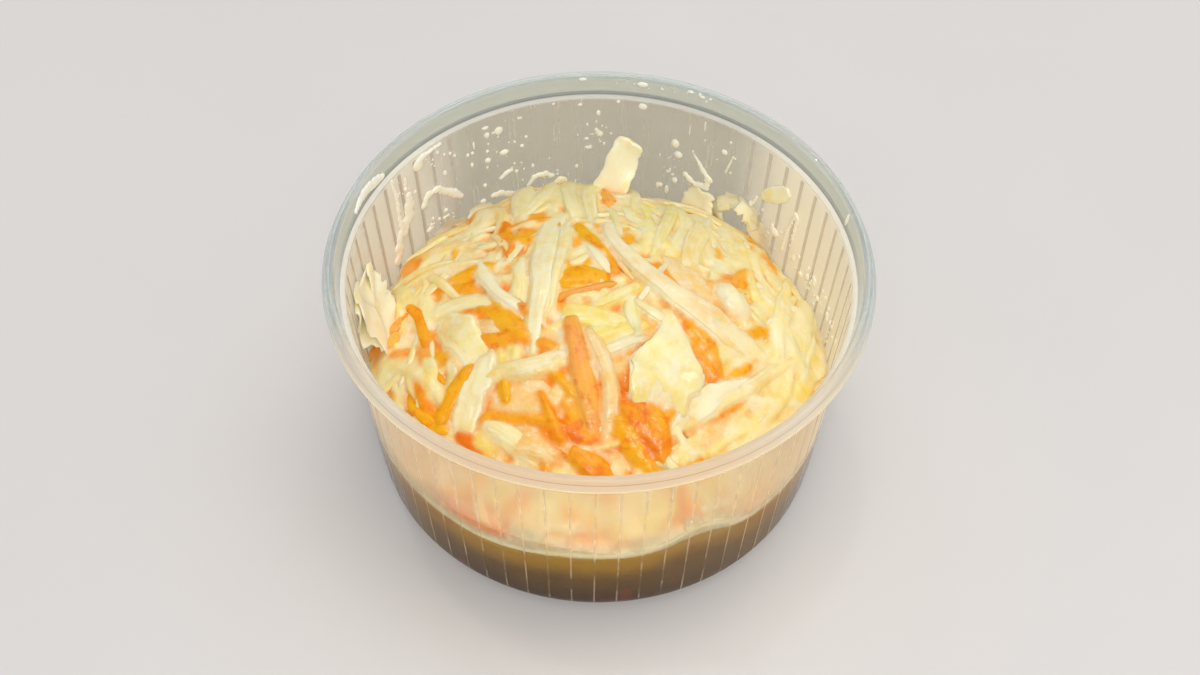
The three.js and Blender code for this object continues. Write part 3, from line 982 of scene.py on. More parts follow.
def lay(pile, blank, path, thick, shade, seed, twist=0.0, cup=0.0, rag=0.0, square=1.0, facing=None):
    """Lays a blank along path, rows of x, y, lift over the heap (or height) and width, in millimetres.

    cup curls its edges up, rag tears them, and square above 1 makes its section boxier. A shred with a
    way to face stands by itself, and its rows give real heights.
    """
    points, faces = blank
    along, across, rise = points.T
    spine = crooked(path, along, seed)
    width = spine[:, 3]
    nearby = smooth_path(path, along + 0.02) - smooth_path(path, along - 0.02)
    middle, ahead, aside, up = ways(spine, nearby, facing)
    length = np.linalg.norm(np.diff(smooth_path(path, np.linspace(0, 1, 20))[:, :3], axis=0), axis=1).sum()
    turn = twist * (along - 0.5) + 0.25 * wander(along * length / 6, seed + 5)
    turned_aside = aside * np.cos(turn)[:, None] + up * np.sin(turn)[:, None]
    turned_up = up * np.cos(turn)[:, None] - aside * np.sin(turn)[:, None]
    boxy = (1 / (np.maximum(np.abs(across), np.abs(rise)) + 1e-9)) ** (1 - 1 / square)
    across = across * boxy
    rise = rise * boxy
    half, reach_on = torn_edges(along * length, across, width, rag, seed)
    torn = reach_on * (np.abs(along - 0.5) > 0.4)
    swell = 1 + 0.18 * wander(along * length / 3 + across, seed + 6)
    veins = np.cos(across * (2.2 + width * 0.9) + 3 * wander(along * length / 14, seed + 12))
    curl = cup * width * across**2 / 2 + 0.05 * thick * veins * np.minimum(1, width / 3)
    laid = middle + turned_aside * (across * half)[:, None]
    laid = laid + turned_up * (rise * thick / 2 * swell + curl)[:, None] + ahead * torn[:, None]
    limit = inner_radius(laid[:, 2]) - 0.25
    laid[:, :2] *= np.minimum(1, limit / np.hypot(laid[:, 0], laid[:, 1]))[:, None]
    colours = strip_colours(shade, along, across, rise, length, 0.5 if facing is None else 0.2, seed)
    place = np.stack([along * length, across * width / 2, np.full_like(along, seed % 97)], -1)
    pile.add(laid, faces, colours, place)


print("a leaf is laid with", len(LEAF_BLANK[0]), "points")

# %% [markdown]
# ## Colours of the shreds
#
# White cabbage runs from almost white through cream to yellow-green, and dressing warms it where carrot
# lies near. Carrot is deep orange where it is bare, amber where light passes through it, and pale orange
# under dressing. A pair of colours on a shred runs from its first end to its last.

# %% Colours of the shreds
WHITE = screen(249, 240, 204)
CREAM = screen(249, 235, 178)
PALE_GREEN = screen(247, 239, 184)
YELLOW = screen(251, 229, 134)
BUTTER = screen(252, 229, 160)
PEACH = screen(253, 214, 148)
PALE_LEAF = screen(250, 247, 222)
CARROT = screen(249, 156, 10)
AMBER = screen(253, 180, 6)
COATED_CARROT = screen(252, 172, 84)
DEEP_CARROT = screen(245, 128, 4)
UNDER_LEAF = screen(238, 196, 96)

CABBAGE_TINTS = [WHITE, CREAM, CREAM, PALE_GREEN, YELLOW]
print("cabbage tints:", len(set(CABBAGE_TINTS)))

# %% [markdown]
# ## Large cabbage shreds and leaves
#
# What makes this heap this heap is a few dozen large shreds on its surface: a broad cream blade down the
# middle, a long white one that curves to the right, a cupped leaf at the front right, and a small white
# block of stem in the right half. A random spread would never give them, so they are listed one by one.
# Each row gives the colour, the thickness, how far it curls and how ragged it is, and then its course as
# x, y, lift over the heap and width in millimetres.

# %% Cabbage shreds and leaves, listed one by one
CABBAGE_BY_HAND = [
    # colour, thickness, cup, rag, course
    ((CREAM, WHITE), 1.3, 0.08, 0.05,
     [(-8.6, 25, -0.6, 4.0), (-9.6, 14, 0.9, 4.4), (-10.6, 5, 1.7, 4.2), (-11.6, -4, 1.2, 3.2),
      (-12.2, -13, -0.2, 2.2)]),
    (CREAM, 1.1, 0.0, 0.05,
     [(-6.4, 22, -0.4, 1.6), (-6.9, 13, 1.5, 2.0), (-7.9, 4, 1.9, 1.8), (-9.0, -4, 0.6, 1.2)]),
    ((WHITE, PEACH), 1.5, 0.07, 0.04,
     [(1.6, 23, -0.8, 2.0), (2.4, 15, 0.7, 2.6), (5.6, 8.4, 1.6, 3.2), (12, 1.2, 2.0, 3.6),
      (18, -2.6, 1.9, 4.0), (24.6, -6.2, 1.1, 4.8), (31, -8.8, -0.6, 3.2)]),
    (WHITE, 1.3, 0.0, 0.04,
     [(-22.4, 11, 0.2, 2.0), (-21.2, 5.4, 1.3, 2.5), (-18.8, 0.8, 1.5, 2.5), (-14.0, -3.2, 0.4, 2.2)]),
    (PEACH, 0.9, 0.0, 0.04, [(-21, 20.5, -0.2, 1.2), (-18.8, 14.5, 0.8, 1.6), (-16.0, 8.6, -0.2, 1.2)]),
    ((BUTTER, WHITE), 1.6, 0.0, 0.08,
     [(-20.5, -17.0, 0.2, 2.6), (-13, -16.4, 1.8, 3.4), (-5, -14.5, -0.1, 2.4)]),
    ((WHITE, PALE_GREEN), 1.2, 0.03, 0.22,
     [(-20.6, -11, -0.4, 3.6), (-21.8, -17, 1.1, 5.0), (-23.4, -22, 0.9, 5.2), (-25, -27, -0.5, 3.6)]),
    (CREAM, 1.4, 0.0, 0.28, [(-20, -24.2, 0, 2.6), (-15.5, -27.6, 1.1, 4.0), (-9.5, -32, -0.4, 3.6)]),
    ((WHITE, YELLOW), 1.5, 0.11, 0.0,
     [(12.0, -3.6, 0, 1.8), (13.4, -8.0, 1.0, 3.6), (13.4, -12.4, 1.8, 7.4), (12.6, -16.4, 2.0, 13.0),
      (11.8, -20.0, 1.5, 13.2), (11.6, -23.0, 0.1, 9.5)]),
    ((WHITE, PALE_LEAF), 1.2, 0.06, 0.12,
     [(13.0, -26.2, -0.2, 1.4), (18.5, -21.6, 1.4, 4.4), (24.5, -16.2, 1.2, 3.2), (31.5, -10, -0.2, 1.4)]),
    (PEACH, 1.3, 0.0, 0.08,
     [(-1.8, -8.5, 0, 1.6), (0.6, -15, 1.2, 2.4), (2.1, -20.5, 1.4, 2.4), (2.4, -24, 1.2, 2.6),
      (1.8, -28.5, -0.2, 2.0)]),
    ((PALE_GREEN, YELLOW), 1.0, 0.06, 0.06,
     [(-4.2, 42, 0.2, 5.6), (-3.9, 31, 1.2, 6.4), (-2.6, 20, -0.4, 5.0)]),
    (PALE_GREEN, 1.1, 0.06, 0.10, [(14, 34, 0.2, 7.5), (15.5, 23, 1.2, 9.0), (14, 11.5, -0.4, 6.5)]),
    (BUTTER, 1.2, 0.05, 0.05, [(20.2, 29, 0.1, 2.6), (18.4, 19, 1.6, 4.2), (16.6, 8.5, -0.2, 3.6)]),
    (WHITE, 2.8, 0.0, 0.05, [(23.9, 3.4, 1.0, 4.4), (24.6, 2.4, 1.3, 4.8), (25.3, 1.4, 1.0, 4.4)]),
    ((CREAM, PEACH), 1.2, 0.06, 0.10,
     [(-31.2, -8, -0.4, 5.0), (-29.5, -14, 1.1, 6.4), (-29.0, -20.5, -0.4, 3.0)]),
    (BUTTER, 1.2, 0.03, 0.06, [(-12, 41, 0, 7.0), (-12.5, 32, 1.0, 9.0), (-14.5, 23, -0.4, 6.5)]),
    (BUTTER, 1.2, 0.03, 0.06, [(-24, 33, 0, 6.0), (-22.5, 27, 0.8, 7.0), (-23, 20, -0.4, 6.0)]),
    (BUTTER, 1.2, 0.03, 0.06, [(-38, 19, -0.4, 5.0), (-30, 18, 0.7, 7.0), (-22, 16, -0.3, 5.0)]),
    (PEACH, 1.2, 0.02, 0.06, [(-36, 12, -0.4, 4.6), (-29, 12, 0.7, 5.6), (-21, 10, -0.3, 4.0)]),
    (WHITE, 1.1, 0.0, 0.04, [(-3.2, 13.8, -0.1, 1.2), (0, 8, 0.9, 2.0), (3.2, 2.5, -0.1, 1.4)]),
    (CREAM, 1.3, 0.03, 0.06,
     [(-34.5, 0.4, -0.4, 3.0), (-27, 1.4, 0.8, 3.6), (-19, 0.2, 0.5, 3.6), (-12, -2.6, -0.4, 2.6)]),
    (CREAM, 1.3, 0.03, 0.06, [(-33, 10, -0.4, 2.6), (-32.6, 4, 0.8, 3.4), (-31, -3, -0.4, 2.6)]),
    (CREAM, 1.3, 0.04, 0.06, [(-29.5, 0, -0.2, 5.0), (-25.8, -6, 1.1, 7.0), (-22, -12, 0.2, 5.6)]),
    (CREAM, 1.2, 0.0, 0.05,
     [(-14.2, 10, -0.2, 2.2), (-14.8, 3, 1.0, 3.0), (-14.2, -4, 0.2, 3.0), (-13, -12, -0.4, 2.4)]),
    (YELLOW, 1.0, 0.0, 0.05, [(-1, -3.8, 0, 1.5), (4, -1.6, 0.9, 2.2), (8, 1.4, 0, 1.5)]),
    (PALE_GREEN, 1.1, 0.0, 0.05, [(6.0, 0, 0, 1.8), (5.8, -5.5, 1.0, 2.6), (7, -11.2, 0, 1.8)]),
    (CREAM, 1.0, 0.0, 0.05, [(6.8, -2.3, 0.2, 1.4), (9.8, -4.2, 0.9, 2.0), (13.4, -6.0, 0, 1.4)]),
    (WHITE, 1.1, 0.0, 0.08, [(9.4, -10.2, 0, 2.0), (5.2, -12, 0.9, 2.5), (0.4, -14.2, 0, 1.8)]),
    (YELLOW, 1.3, 0.03, 0.06, [(-6, -4.5, -0.3, 4.0), (-0.5, -6.2, 0.5, 5.0), (5.5, -8.5, -0.3, 4.0)]),
    (YELLOW, 1.2, 0.03, 0.06, [(-4.5, -9, -0.3, 3.0), (1.5, -10.2, 0.5, 3.6), (8.5, -7.2, -0.3, 3.0)]),
    (PEACH, 1.3, 0.03, 0.05, [(-24, -5.0, -0.1, 3.0), (-19, -6.6, 0.7, 4.0), (-15, -8.4, -0.2, 2.6)]),
    (CREAM, 1.0, 0.0, 0.06, [(-1.2, 9.5, -0.2, 1.4), (-3.6, 7.0, 0.5, 2.0), (-6, 6.4, -0.2, 1.4)]),
    (YELLOW, 1.2, 0.03, 0.06, [(8.0, 30, 0, 5.5), (10, 20, 0.6, 7.5), (10.5, 11, -0.4, 6.0)]),
    (BUTTER, 1.2, 0.04, 0.06, [(3.5, 40, 0.2, 6.0), (5, 32, 0.9, 7.0), (4.5, 23, -0.4, 5.0)]),
    (PEACH, 1.3, 0.03, 0.06, [(13.5, 11, -0.2, 5.0), (17, 4.5, 0.5, 7.0), (20.5, -2, -0.2, 5.0)]),
    (CREAM, 1.3, 0.03, 0.06, [(27, 26, 0, 7.0), (28, 16, 0.8, 8.5), (31, 6, -0.2, 7.0)]),
    (CREAM, 1.3, 0.04, 0.06, [(37, 18, 0, 6.0), (37.6, 6, 0.9, 8.0), (37, -8, -0.1, 6.0)]),
    (PALE_GREEN, 1.3, 0.04, 0.06, [(33.6, 10, 0, 5.5), (33, 2, 0.9, 7.0), (34.5, -7, -0.1, 5.5)]),
    (CREAM, 1.3, 0.04, 0.06,
     [(37, -3, 0.2, 3.0), (33, -12, 1.2, 5.4), (26, -19.5, 0.9, 5.0), (16.5, -27, -0.2, 3.6)]),
    (BUTTER, 1.3, 0.04, 0.06, [(39, -10, 0, 4.0), (32.5, -20, 0.7, 6.5), (22, -28, -0.2, 5.0)]),
    (PALE_GREEN, 1.2, 0.06, 0.08, [(23.5, 33, 0.4, 4.0), (22.6, 25, 1.0, 5.5), (23.5, 16, -0.2, 4.5)]),
    (YELLOW, 1.2, 0.05, 0.05, [(-38.5, 14, -0.2, 4.0), (-36, 8, 0.8, 5.0), (-35, 1, -0.2, 4.0)]),
    (CREAM, 1.2, 0.05, 0.06, [(-41, 0, -0.2, 4.0), (-38.5, -7, 0.7, 6.0), (-33.5, -15, -0.2, 4.0)]),
    (CREAM, 1.2, 0.04, 0.06, [(-37.5, -8, -0.2, 3.6), (-33, -14.5, 0.6, 5.0), (-28, -22, -0.2, 3.4)]),
    (PEACH, 1.6, 0.02, 0.05, [(-17.5, -20.5, -0.2, 5.0), (-13, -21.5, 0.5, 7.5), (-8.5, -22.5, -0.3, 6.0)]),
    (PEACH, 1.6, 0.02, 0.06, [(-17, -27.5, -0.2, 4.0), (-12, -28, 0.4, 6.0), (-7, -30, -0.3, 5.0)]),
]
print("cabbage placed by hand:", len(CABBAGE_BY_HAND))

# %% [markdown]
# ## Large carrot sticks and chunks
#
# Carrot is cut into sticks that are almost square, and some lie as short chunks with crumbly sides. They
# are the strongest colour in the heap, so the eye checks their places first. The rows are like those of
# the cabbage, but in place of the curl they say how square the stick is.

# %% Carrot sticks and chunks, listed one by one
CARROT_BY_HAND = [
    # colour, thickness, squareness, rag, course
    (COATED_CARROT, 2.2, 1.8, 0.06,
     [(-4.6, -8.2, 0.2, 2.8), (-3.0, -16, 1.3, 3.6), (-0.6, -25.8, 0.3, 3.8)]),
    (CARROT, 2.0, 1.8, 0.10, [(-17.8, 21.5, -0.2, 5.6), (-17.3, 16, 0, 4.6), (-16.8, 11.5, -0.4, 2.4)]),
    (CARROT, 2.0, 1.8, 0.10, [(-15.8, 22.8, -0.2, 2.8), (-10.9, 22.4, -0.2, 4.0)]),
    (AMBER, 2.0, 1.8, 0.12, [(-29, 6.5, -0.4, 3.4), (-22.0, 4.6, -0.1, 4.4)]),
    (CARROT, 2.0, 1.8, 0.06, [(-25.2, -2.6, 0.3, 2.2), (-19, -3.0, 0.3, 2.8)]),
    (AMBER, 2.0, 1.8, 0.10, [(-19.4, -1.8, -0.1, 3.0), (-15.5, -5.6, 0.3, 5.0), (-12.2, -9.4, 0, 4.6)]),
    (CARROT, 1.6, 1.8, 0.06, [(-23, -8.4, 0.3, 1.4), (-17, -9.8, 0.5, 2.2), (-12.2, -10.6, 0.1, 1.6)]),
    (AMBER, 2.0, 1.8, 0.10, [(-4.4, 20, -0.4, 3.4), (-5.4, 11, -0.2, 4.2), (-7.0, 3.0, -0.2, 3.8)]),
    (AMBER, 2.0, 1.8, 0.10, [(-7.0, 1.9, 0.2, 5.0), (-3.2, 2.1, 0.8, 5.6), (0.8, 1.8, 0.1, 5.0)]),
    (AMBER, 1.6, 1.8, 0.10, [(-3.0, 18.2, -0.3, 2.6), (1.2, 12, -0.1, 3.4), (2.4, 6, -0.2, 2.0)]),
    (CARROT, 1.6, 1.8, 0.14, [(0.9, 9, 0.1, 1.6), (3.2, 4.0, 0.1, 1.8)]),
    (AMBER, 1.8, 1.8, 0.08, [(4.6, 21.6, -0.1, 2.6), (5.9, 11.4, 0, 2.8)]),
    (COATED_CARROT, 2.0, 1.8, 0.06, [(-32.4, -2.0, 0, 2.6), (-31.8, -9.8, 0.4, 3.2)]),
    (CARROT, 1.8, 1.8, 0.06, [(-30.6, -3.4, 0, 1.8), (-30.3, -9.8, 0.2, 2.0)]),
    (COATED_CARROT, 1.8, 1.8, 0.06, [(-37.6, -4.6, 0.1, 2.0), (-33.8, -6.4, 0.1, 2.4)]),
    (CARROT, 1.9, 1.8, 0.06, [(-33, -10.6, 0, 1.8), (-31.8, -16, 0.4, 2.8), (-30.4, -21, 0, 2.4)]),
    (AMBER, 1.8, 1.8, 0.06, [(-22.9, -14.0, 0.3, 2.4), (-25.8, -18.4, 0.9, 3.2), (-28.8, -22.9, 0.3, 2.8)]),
    (CARROT, 1.8, 1.8, 0.10, [(-19.4, -23.4, 0.4, 2.4), (-14, -24.7, 0.7, 2.8), (-8.4, -25.7, 0.3, 1.4)]),
    (CARROT, 2.0, 1.8, 0.10, [(-9.2, -17.6, 0, 3.0), (-6.6, -20.8, 0, 4.4)]),
    (CARROT, 2.0, 1.8, 0.12, [(-7.6, -21, 0.2, 3.4), (-4.4, -27.2, 0.5, 5.4)]),
    (DEEP_CARROT, 2.2, 1.8, 0.12, [(-8.8, -26.6, 0, 3.4), (-2.8, -29.0, 0.2, 4.2)]),
    (DEEP_CARROT, 2.6, 1.5, 0.30, [(4.6, -21.6, 0.2, 3.0), (7.4, -25.4, 1.1, 4.4), (10.4, -29.6, 0.4, 3.4)]),
    (AMBER, 2.4, 1.5, 0.30, [(3.0, -25.0, 0.2, 3.0), (6.0, -28.6, 1.0, 4.2), (9.4, -32.6, 0.2, 3.0)]),
    (CARROT, 2.2, 1.5, 0.30, [(7.4, -22.4, 0.2, 2.2), (10.4, -26.4, 0.7, 3.2), (12.0, -31.0, 0.2, 2.4)]),
    (COATED_CARROT, 1.6, 1.4, 0.25,
     [(5.0, -23.6, 1.0, 1.2), (8.2, -27.4, 1.7, 1.9), (10.2, -31.4, 0.8, 1.4)]),
    (DEEP_CARROT, 2.0, 1.5, 0.30, [(4.2, -28.2, 0.1, 2.4), (8.8, -30.2, 0.6, 3.0), (12.6, -29.4, 0.0, 2.0)]),
    (DEEP_CARROT, 1.8, 1.8, 0.2, [(0.5, -31.6, -0.1, 3.4), (6.4, -32.2, 0.1, 3.6)]),
    (CARROT, 2.0, 1.8, 0.12, [(15.2, -6.2, 0, 3.6), (18.6, -10.2, 0.1, 5.6), (21.0, -14.4, 0, 4.2)]),
    (COATED_CARROT, 1.8, 1.8, 0.06, [(24.8, 8.4, 0.2, 3.0), (22.0, 4.4, 0.2, 3.2)]),
    (AMBER, 1.9, 1.8, 0.06, [(28.4, 12.7, 0, 3.0), (25.0, 8.0, 0.3, 3.4)]),
    (CARROT, 2.0, 1.8, 0.12, [(35.4, -2.2, -0.1, 2.2), (30.2, 1.0, 0.1, 3.8)]),
    (AMBER, 2.0, 1.8, 0.08, [(31.4, -1.2, 0, 2.6), (26.0, -4.8, 0, 2.8)]),
    (CARROT, 1.8, 1.8, 0.08, [(21.6, -21.8, 0.2, 2.0), (27.2, -17.2, 0.2, 2.6)]),
    (AMBER, 2.0, 1.8, 0.08, [(30, 32, -0.2, 2.8), (31.6, 20, 0.1, 3.6)]),
    (COATED_CARROT, 1.6, 1.8, 0.06, [(-0.9, 38.4, 0.6, 2.0), (2.3, 29.4, 0.8, 2.6)]),
    (COATED_CARROT, 2.0, 1.8, 0.06, [(-38.4, 22.8, -0.2, 2.6), (-36.4, 16.6, 0.1, 3.0)]),
    (CARROT, 1.4, 1.6, 0.06, [(-9.9, -27.6, 0.1, 1.4), (-9, -32.8, 0, 2.0)]),
    (DEEP_CARROT, 1.6, 1.6, 0.08, [(-24.4, -26.0, 0.2, 2.0), (-20.0, -29.0, 0, 2.2)]),
    (AMBER, 1.6, 1.2, 0.05, [(-17.2, -18.4, 0.8, 2.4), (-16.9, -21.4, 0.8, 2.6)]),
    (UNDER_LEAF, 1.6, 1.4, 0.12, [(-41.0, 4.6, 0.2, 3.0), (-39.8, 1.4, 0.9, 4.4), (-38.0, -2.2, 0.2, 3.0)]),
    (AMBER, 1.8, 1.8, 0.08, [(21.6, 18.5, -0.1, 2.0), (22.8, 10.6, -0.1, 2.4)]),
    (CARROT, 1.6, 1.8, 0.10, [(10.6, 6.8, -0.1, 1.8), (13.9, 1.6, 0, 2.6)]),
    (CARROT, 1.4, 1.8, 0.06, [(-10.8, -11.2, 0.2, 1.4), (-6.6, -13.2, 0.2, 1.7)]),
    (CARROT, 1.6, 1.6, 0.10, [(14.5, -21.6, 0, 2.0), (12.5, -25.6, -0.1, 3.6)]),
    (CARROT, 2.0, 1.6, 0.25, [(-4.4, -30.6, 0.3, 2.8), (-0.8, -32.8, 1.5, 4.2), (3.2, -34.0, 0.3, 3.2)]),
]
print("carrot placed by hand:", len(CARROT_BY_HAND))

# %% [markdown]
# ## How the large shreds sit in the heap
#
# The ends of a real shred go down among the others, and dressing holds its underside. So each course is
# carried on and down at both ends, and a lower, broader copy of it goes into the bedding. Toward the wall
# all lies deeper, and a broad leaf is split there into narrow strips, as cut cabbage falls apart.

# %% Helpers: courses, tints and strips
CLEAR_REACH = 27
CLEAR_LIFT = 1.4


def sunk(path, drop, broader):
    """The same course, lower and broader, for the dressing that holds a shred."""
    return [(x, y, lift - drop, width + broader) for x, y, lift, width in path]


def rooted(path, deep=1.8, reach=1.4):
    """Carries both ends of a course on and down, so that they disappear among the others."""
    rows = [np.array(row, float) for row in path]
    longer = []
    for end, near in ((rows[0], rows[1]), (rows[-1], rows[-2])):
        ahead = end[:2] - near[:2]
        ahead = ahead / np.linalg.norm(ahead) * reach
        longer.append((end[0] + ahead[0], end[1] + ahead[1], end[2] - deep, end[3] * 0.75))
    return [longer[0], *path, longer[1]]


def towards(shade, other, share):
    """A colour moved a share of the way to another. Of a pair of colours the first is taken."""
    shade = shade if np.ndim(shade) == 1 else shade[0]
    return tuple(a * (1 - share) + b * share for a, b in zip(shade, other))


def widest(path):
    return max(row[3] for row in path)


def highest(path):
    return max(row[2] for row in path)


def stands_out(path):
    """True for a shred that lies clear on top. Toward the wall at the back and right all are buried."""
    middle = path[len(path) // 2]
    return math.hypot(middle[0] + 3, middle[1] + 5) < CLEAR_REACH or highest(path) >= CLEAR_LIFT


def strips(path, seed, tints, strip_width):
    """Splits a broad course into a few narrower ones that run side by side, with a tint for each."""
    draw = random.Random(seed + 70)
    rows = np.array(path)
    count = max(2, round(rows[:, 3].max() / strip_width))
    ahead = np.gradient(rows[:, :2], axis=0)
    aside = np.stack([-ahead[:, 1], ahead[:, 0]], -1) / np.linalg.norm(ahead, axis=1)[:, None]
    middle = rows[:, :2].mean(0)
    for k in range(count):
        share = (k + 0.5) / count - 0.5
        turn = draw.uniform(-0.28, 0.28)
        turning = np.array([[math.cos(turn), math.sin(turn)], [-math.sin(turn), math.cos(turn)]])
        course = rows.copy()
        course[:, :2] += aside * (share * rows[:, 3:] + np.array([[draw.uniform(-0.8, 0.8)] for _ in rows]))
        shift = np.array([draw.uniform(-1, 1), draw.uniform(-1, 1)])
        course[:, :2] = (course[:, :2] - middle) @ turning + middle + shift
        course[:, 2] += draw.uniform(-0.8, 0.5) + 0.3 * (0.5 - abs(share))
        course[:, 3] = rows[:, 3] / count * draw.uniform(0.7, 1.8)
        yield course.tolist(), draw.choice(tints)


print("cabbage that lies clear:", sum(stands_out(row[-1]) for row in CABBAGE_BY_HAND))

# %% [markdown]
# ## Laying the cabbage
#
# A row that lies clear becomes one shred and two parts of the bedding under it. A buried row only shapes
# the bedding, or falls apart into strips where it is broad. Broad shreds use the blank with many faces,
# because their torn edges and veins show.

# %% Lay the listed cabbage
BROAD_LEAF = 4.3
BLOCK = 2.5
LEAF_STRIP = 2.4

for number, (shade, thick, cup, rag, path) in enumerate(CABBAGE_BY_HAND):
    broad = widest(path) > BROAD_LEAF
    clear = stands_out(path) or thick > BLOCK
    path = rooted(path)
    if broad and not clear:
        warm = carrot_share(*np.array(path)[:, :2].mean(0)) > 0.2
        tints = CABBAGE_TINTS + ([PEACH, BUTTER] if warm else [WHITE])
        for part, (course, tint) in enumerate(strips(path, number, tints, LEAF_STRIP)):
            tint = towards(shade, tint, 0.6)
            seed = number * 7 + part
            lay(bedding, SHRED_BLANK, course, thick * 1.7, tint, seed, rag=0.12)
            if part % 2 == 0:
                lay(cabbage, SHRED_BLANK, sunk(course, -0.35, -0.2), thick, tint, seed, rag=0.15, square=1.7)
        continue
    blank = LEAF_BLANK if broad else SHRED_BLANK
    if clear:
        pile = leaves if broad else cabbage
        lay(pile, blank, path, thick, shade, number, cup=cup, rag=rag + 0.08, square=1.7)
    # The amber in the bedding under a shred is painted shade of the gap beneath it.
    held = towards(shade, AMBER, 0.08 if clear else 0.0)
    bed = sunk(path, 0.5 if clear else 0.2, 0.8)
    lay(bedding, blank, bed, thick * 1.6, held, number, cup=cup / 2, rag=rag, square=1.2)
    lay(bedding, SHRED_BLANK, sunk(path, 1.7, -0.3), 2.8, towards(shade, AMBER, 0.4), number + 50, square=1.2)
print("cabbage shreds and leaves laid:", len(cabbage.points) + len(leaves.points))

# %% [markdown]
# ## Laying the carrot
#
# The carrot goes in the same way. Its sticks keep their own colour in the bedding, because carrot juice
# stains the dressing round them, and chunks that lie deep are split into a few crumbly sticks.

# %% Lay the listed carrot
BROAD_CHUNK = 3.2
CLEAR_CARROT_LIFT = 0.75
CHUNK_STRIP = 1.9
CARROT_SEED = 200

for number, (shade, thick, square, rag, path) in enumerate(CARROT_BY_HAND):
    clear = highest(path) > CLEAR_CARROT_LIFT
    path = rooted(path, 1.0, 0.8)
    if widest(path) > BROAD_CHUNK and not clear:
        tints = [CARROT, AMBER, AMBER, DEEP_CARROT, COATED_CARROT]
        for part, (course, tint) in enumerate(strips(path, CARROT_SEED + number, tints, CHUNK_STRIP)):
            tint = towards(shade, tint, 0.6)
            seed = CARROT_SEED + number * 7 + part
            lay(bedding, SHRED_BLANK, sunk(course, 0.3, 0.3), thick * 1.4, tint, seed, rag=0.2)
            if part % 2 == 0:
                lay(carrot, SHRED_BLANK, sunk(course, 0.05, -0.2), thick, tint, seed, rag=0.2, square=1.6)
        continue
    seed = CARROT_SEED + number
    if clear:
        lay(carrot, SHRED_BLANK, path, thick, shade, seed, rag=rag, square=square)
    bed = sunk(path, 0.5 if clear else 0.35, 0.6)
    lay(bedding, SHRED_BLANK, bed, thick * 1.4, shade, seed, rag=rag, square=1.3)
print("carrot sticks and chunks laid:", len(carrot.points))

# %% [markdown]
# ## Leaves that stand up
#
# One broad leaf stands at the back of the heap. A ragged one sticks to the wall at the left, made of
# three pieces that overlap, because a torn leaf has no straight edge. Leaf tips rise along the back edge
# of the heap, and a lumpy scrap bends over in an arch at the back right. They don't follow the heap, so
# their courses have real heights and a way that their broad side faces.

# %% Standing leaves
STANDING_SEED = 301
STANDING = [
    # thickness, cup, rag, the way it faces, course of x, y, height and width
    (1.0, 0.06, 0.10, (-0.10, -0.95, 0.30),
     [(-0.6, 33.6, 25.0, 7.6), (1.6, 36.8, 31, 7.2), (4.0, 39.6, 36.4, 6.8), (6.2, 41.2, 40.4, 6.0)]),
    (0.8, 0.05, 0.30, (0.80, -0.2, 0.55),
     [(-35.5, 1.2, 25.5, 9.0), (-40.5, 2.2, 29.5, 13.5), (-43.4, 2.8, 34.0, 14.0),
      (-45.2, 3.4, 39.0, 10.0)]),
    (0.7, 0.04, 0.30, (0.90, 0.0, 0.40),
     [(-39.6, 1.2, 27.0, 7.0), (-43.8, 1.4, 34.5, 8.4), (-45.8, 1.8, 40.6, 4.6)]),
    (0.7, 0.04, 0.30, (0.85, -0.1, 0.45),
     [(-39.0, 7.4, 28.0, 5.0), (-42.2, 8.4, 33.0, 5.6), (-43.8, 9.4, 38.4, 3.4)]),
    (0.9, 0.05, 0.10, (0.2, -0.8, 0.6),
     [(-9.0, 40.2, 22.5, 5.6), (-8.0, 41.2, 24.8, 5.0), (-7.2, 42.4, 28.2, 1.2)]),
    (1.4, 0.08, 0.20, (-0.4, -0.7, 0.6),
     [(17.6, 36.6, 21, 7.0), (19.2, 38.2, 25, 8.0), (20.4, 39.2, 28.4, 6.0)]),
    (1.5, 0.05, 0.50, (-0.5, -0.6, 0.6),
     [(22.4, 36.8, 20.0, 3.0), (23.0, 37.2, 23.5, 4.0), (23.6, 37.2, 27.0, 3.0)]),
    (1.5, 0.05, 0.50, (-0.5, -0.6, 0.6),
     [(23.2, 37.2, 26.0, 3.0), (25.4, 36.2, 29.2, 4.2), (27.8, 34.6, 30.2, 3.0)]),
    (1.5, 0.05, 0.50, (-0.5, -0.6, 0.6),
     [(26.8, 35.2, 30.4, 3.4), (29.4, 33.2, 29.0, 5.0), (31.2, 31.6, 26.6, 3.6)]),
    (1.4, 0.05, 0.40, (-0.5, -0.6, 0.6),
     [(29.8, 32.6, 28.0, 4.0), (32.2, 30.4, 24.5, 6.0), (33.4, 29.0, 20.5, 6.0)]),
    (1.2, 0.05, 0.25, (0.5, -0.5, 0.7),
     [(-27.5, 33.0, 21.5, 8.0), (-30.5, 31.5, 24.0, 8.0), (-32.0, 31.2, 25.8, 5.4)]),
    (1.0, 0.04, 0.30, (0.5, -0.6, 0.6),
     [(-22.0, 36.4, 21.0, 6.0), (-24.4, 36.2, 23.4, 6.0), (-26.0, 35.8, 25.0, 3.4)]),
    (1.0, 0.04, 0.25, (0.3, -0.7, 0.6),
     [(-14.0, 39.4, 21.0, 6.5), (-15.6, 39.6, 23.6, 6.5), (-16.4, 39.8, 25.4, 3.6)]),
]
for number, (thick, cup, rag, facing, path) in enumerate(STANDING):
    lay(leaves, LEAF_BLANK, path, thick, PALE_LEAF, STANDING_SEED + number, cup=cup, rag=rag, facing=facing)
print("standing leaves:", len(STANDING))

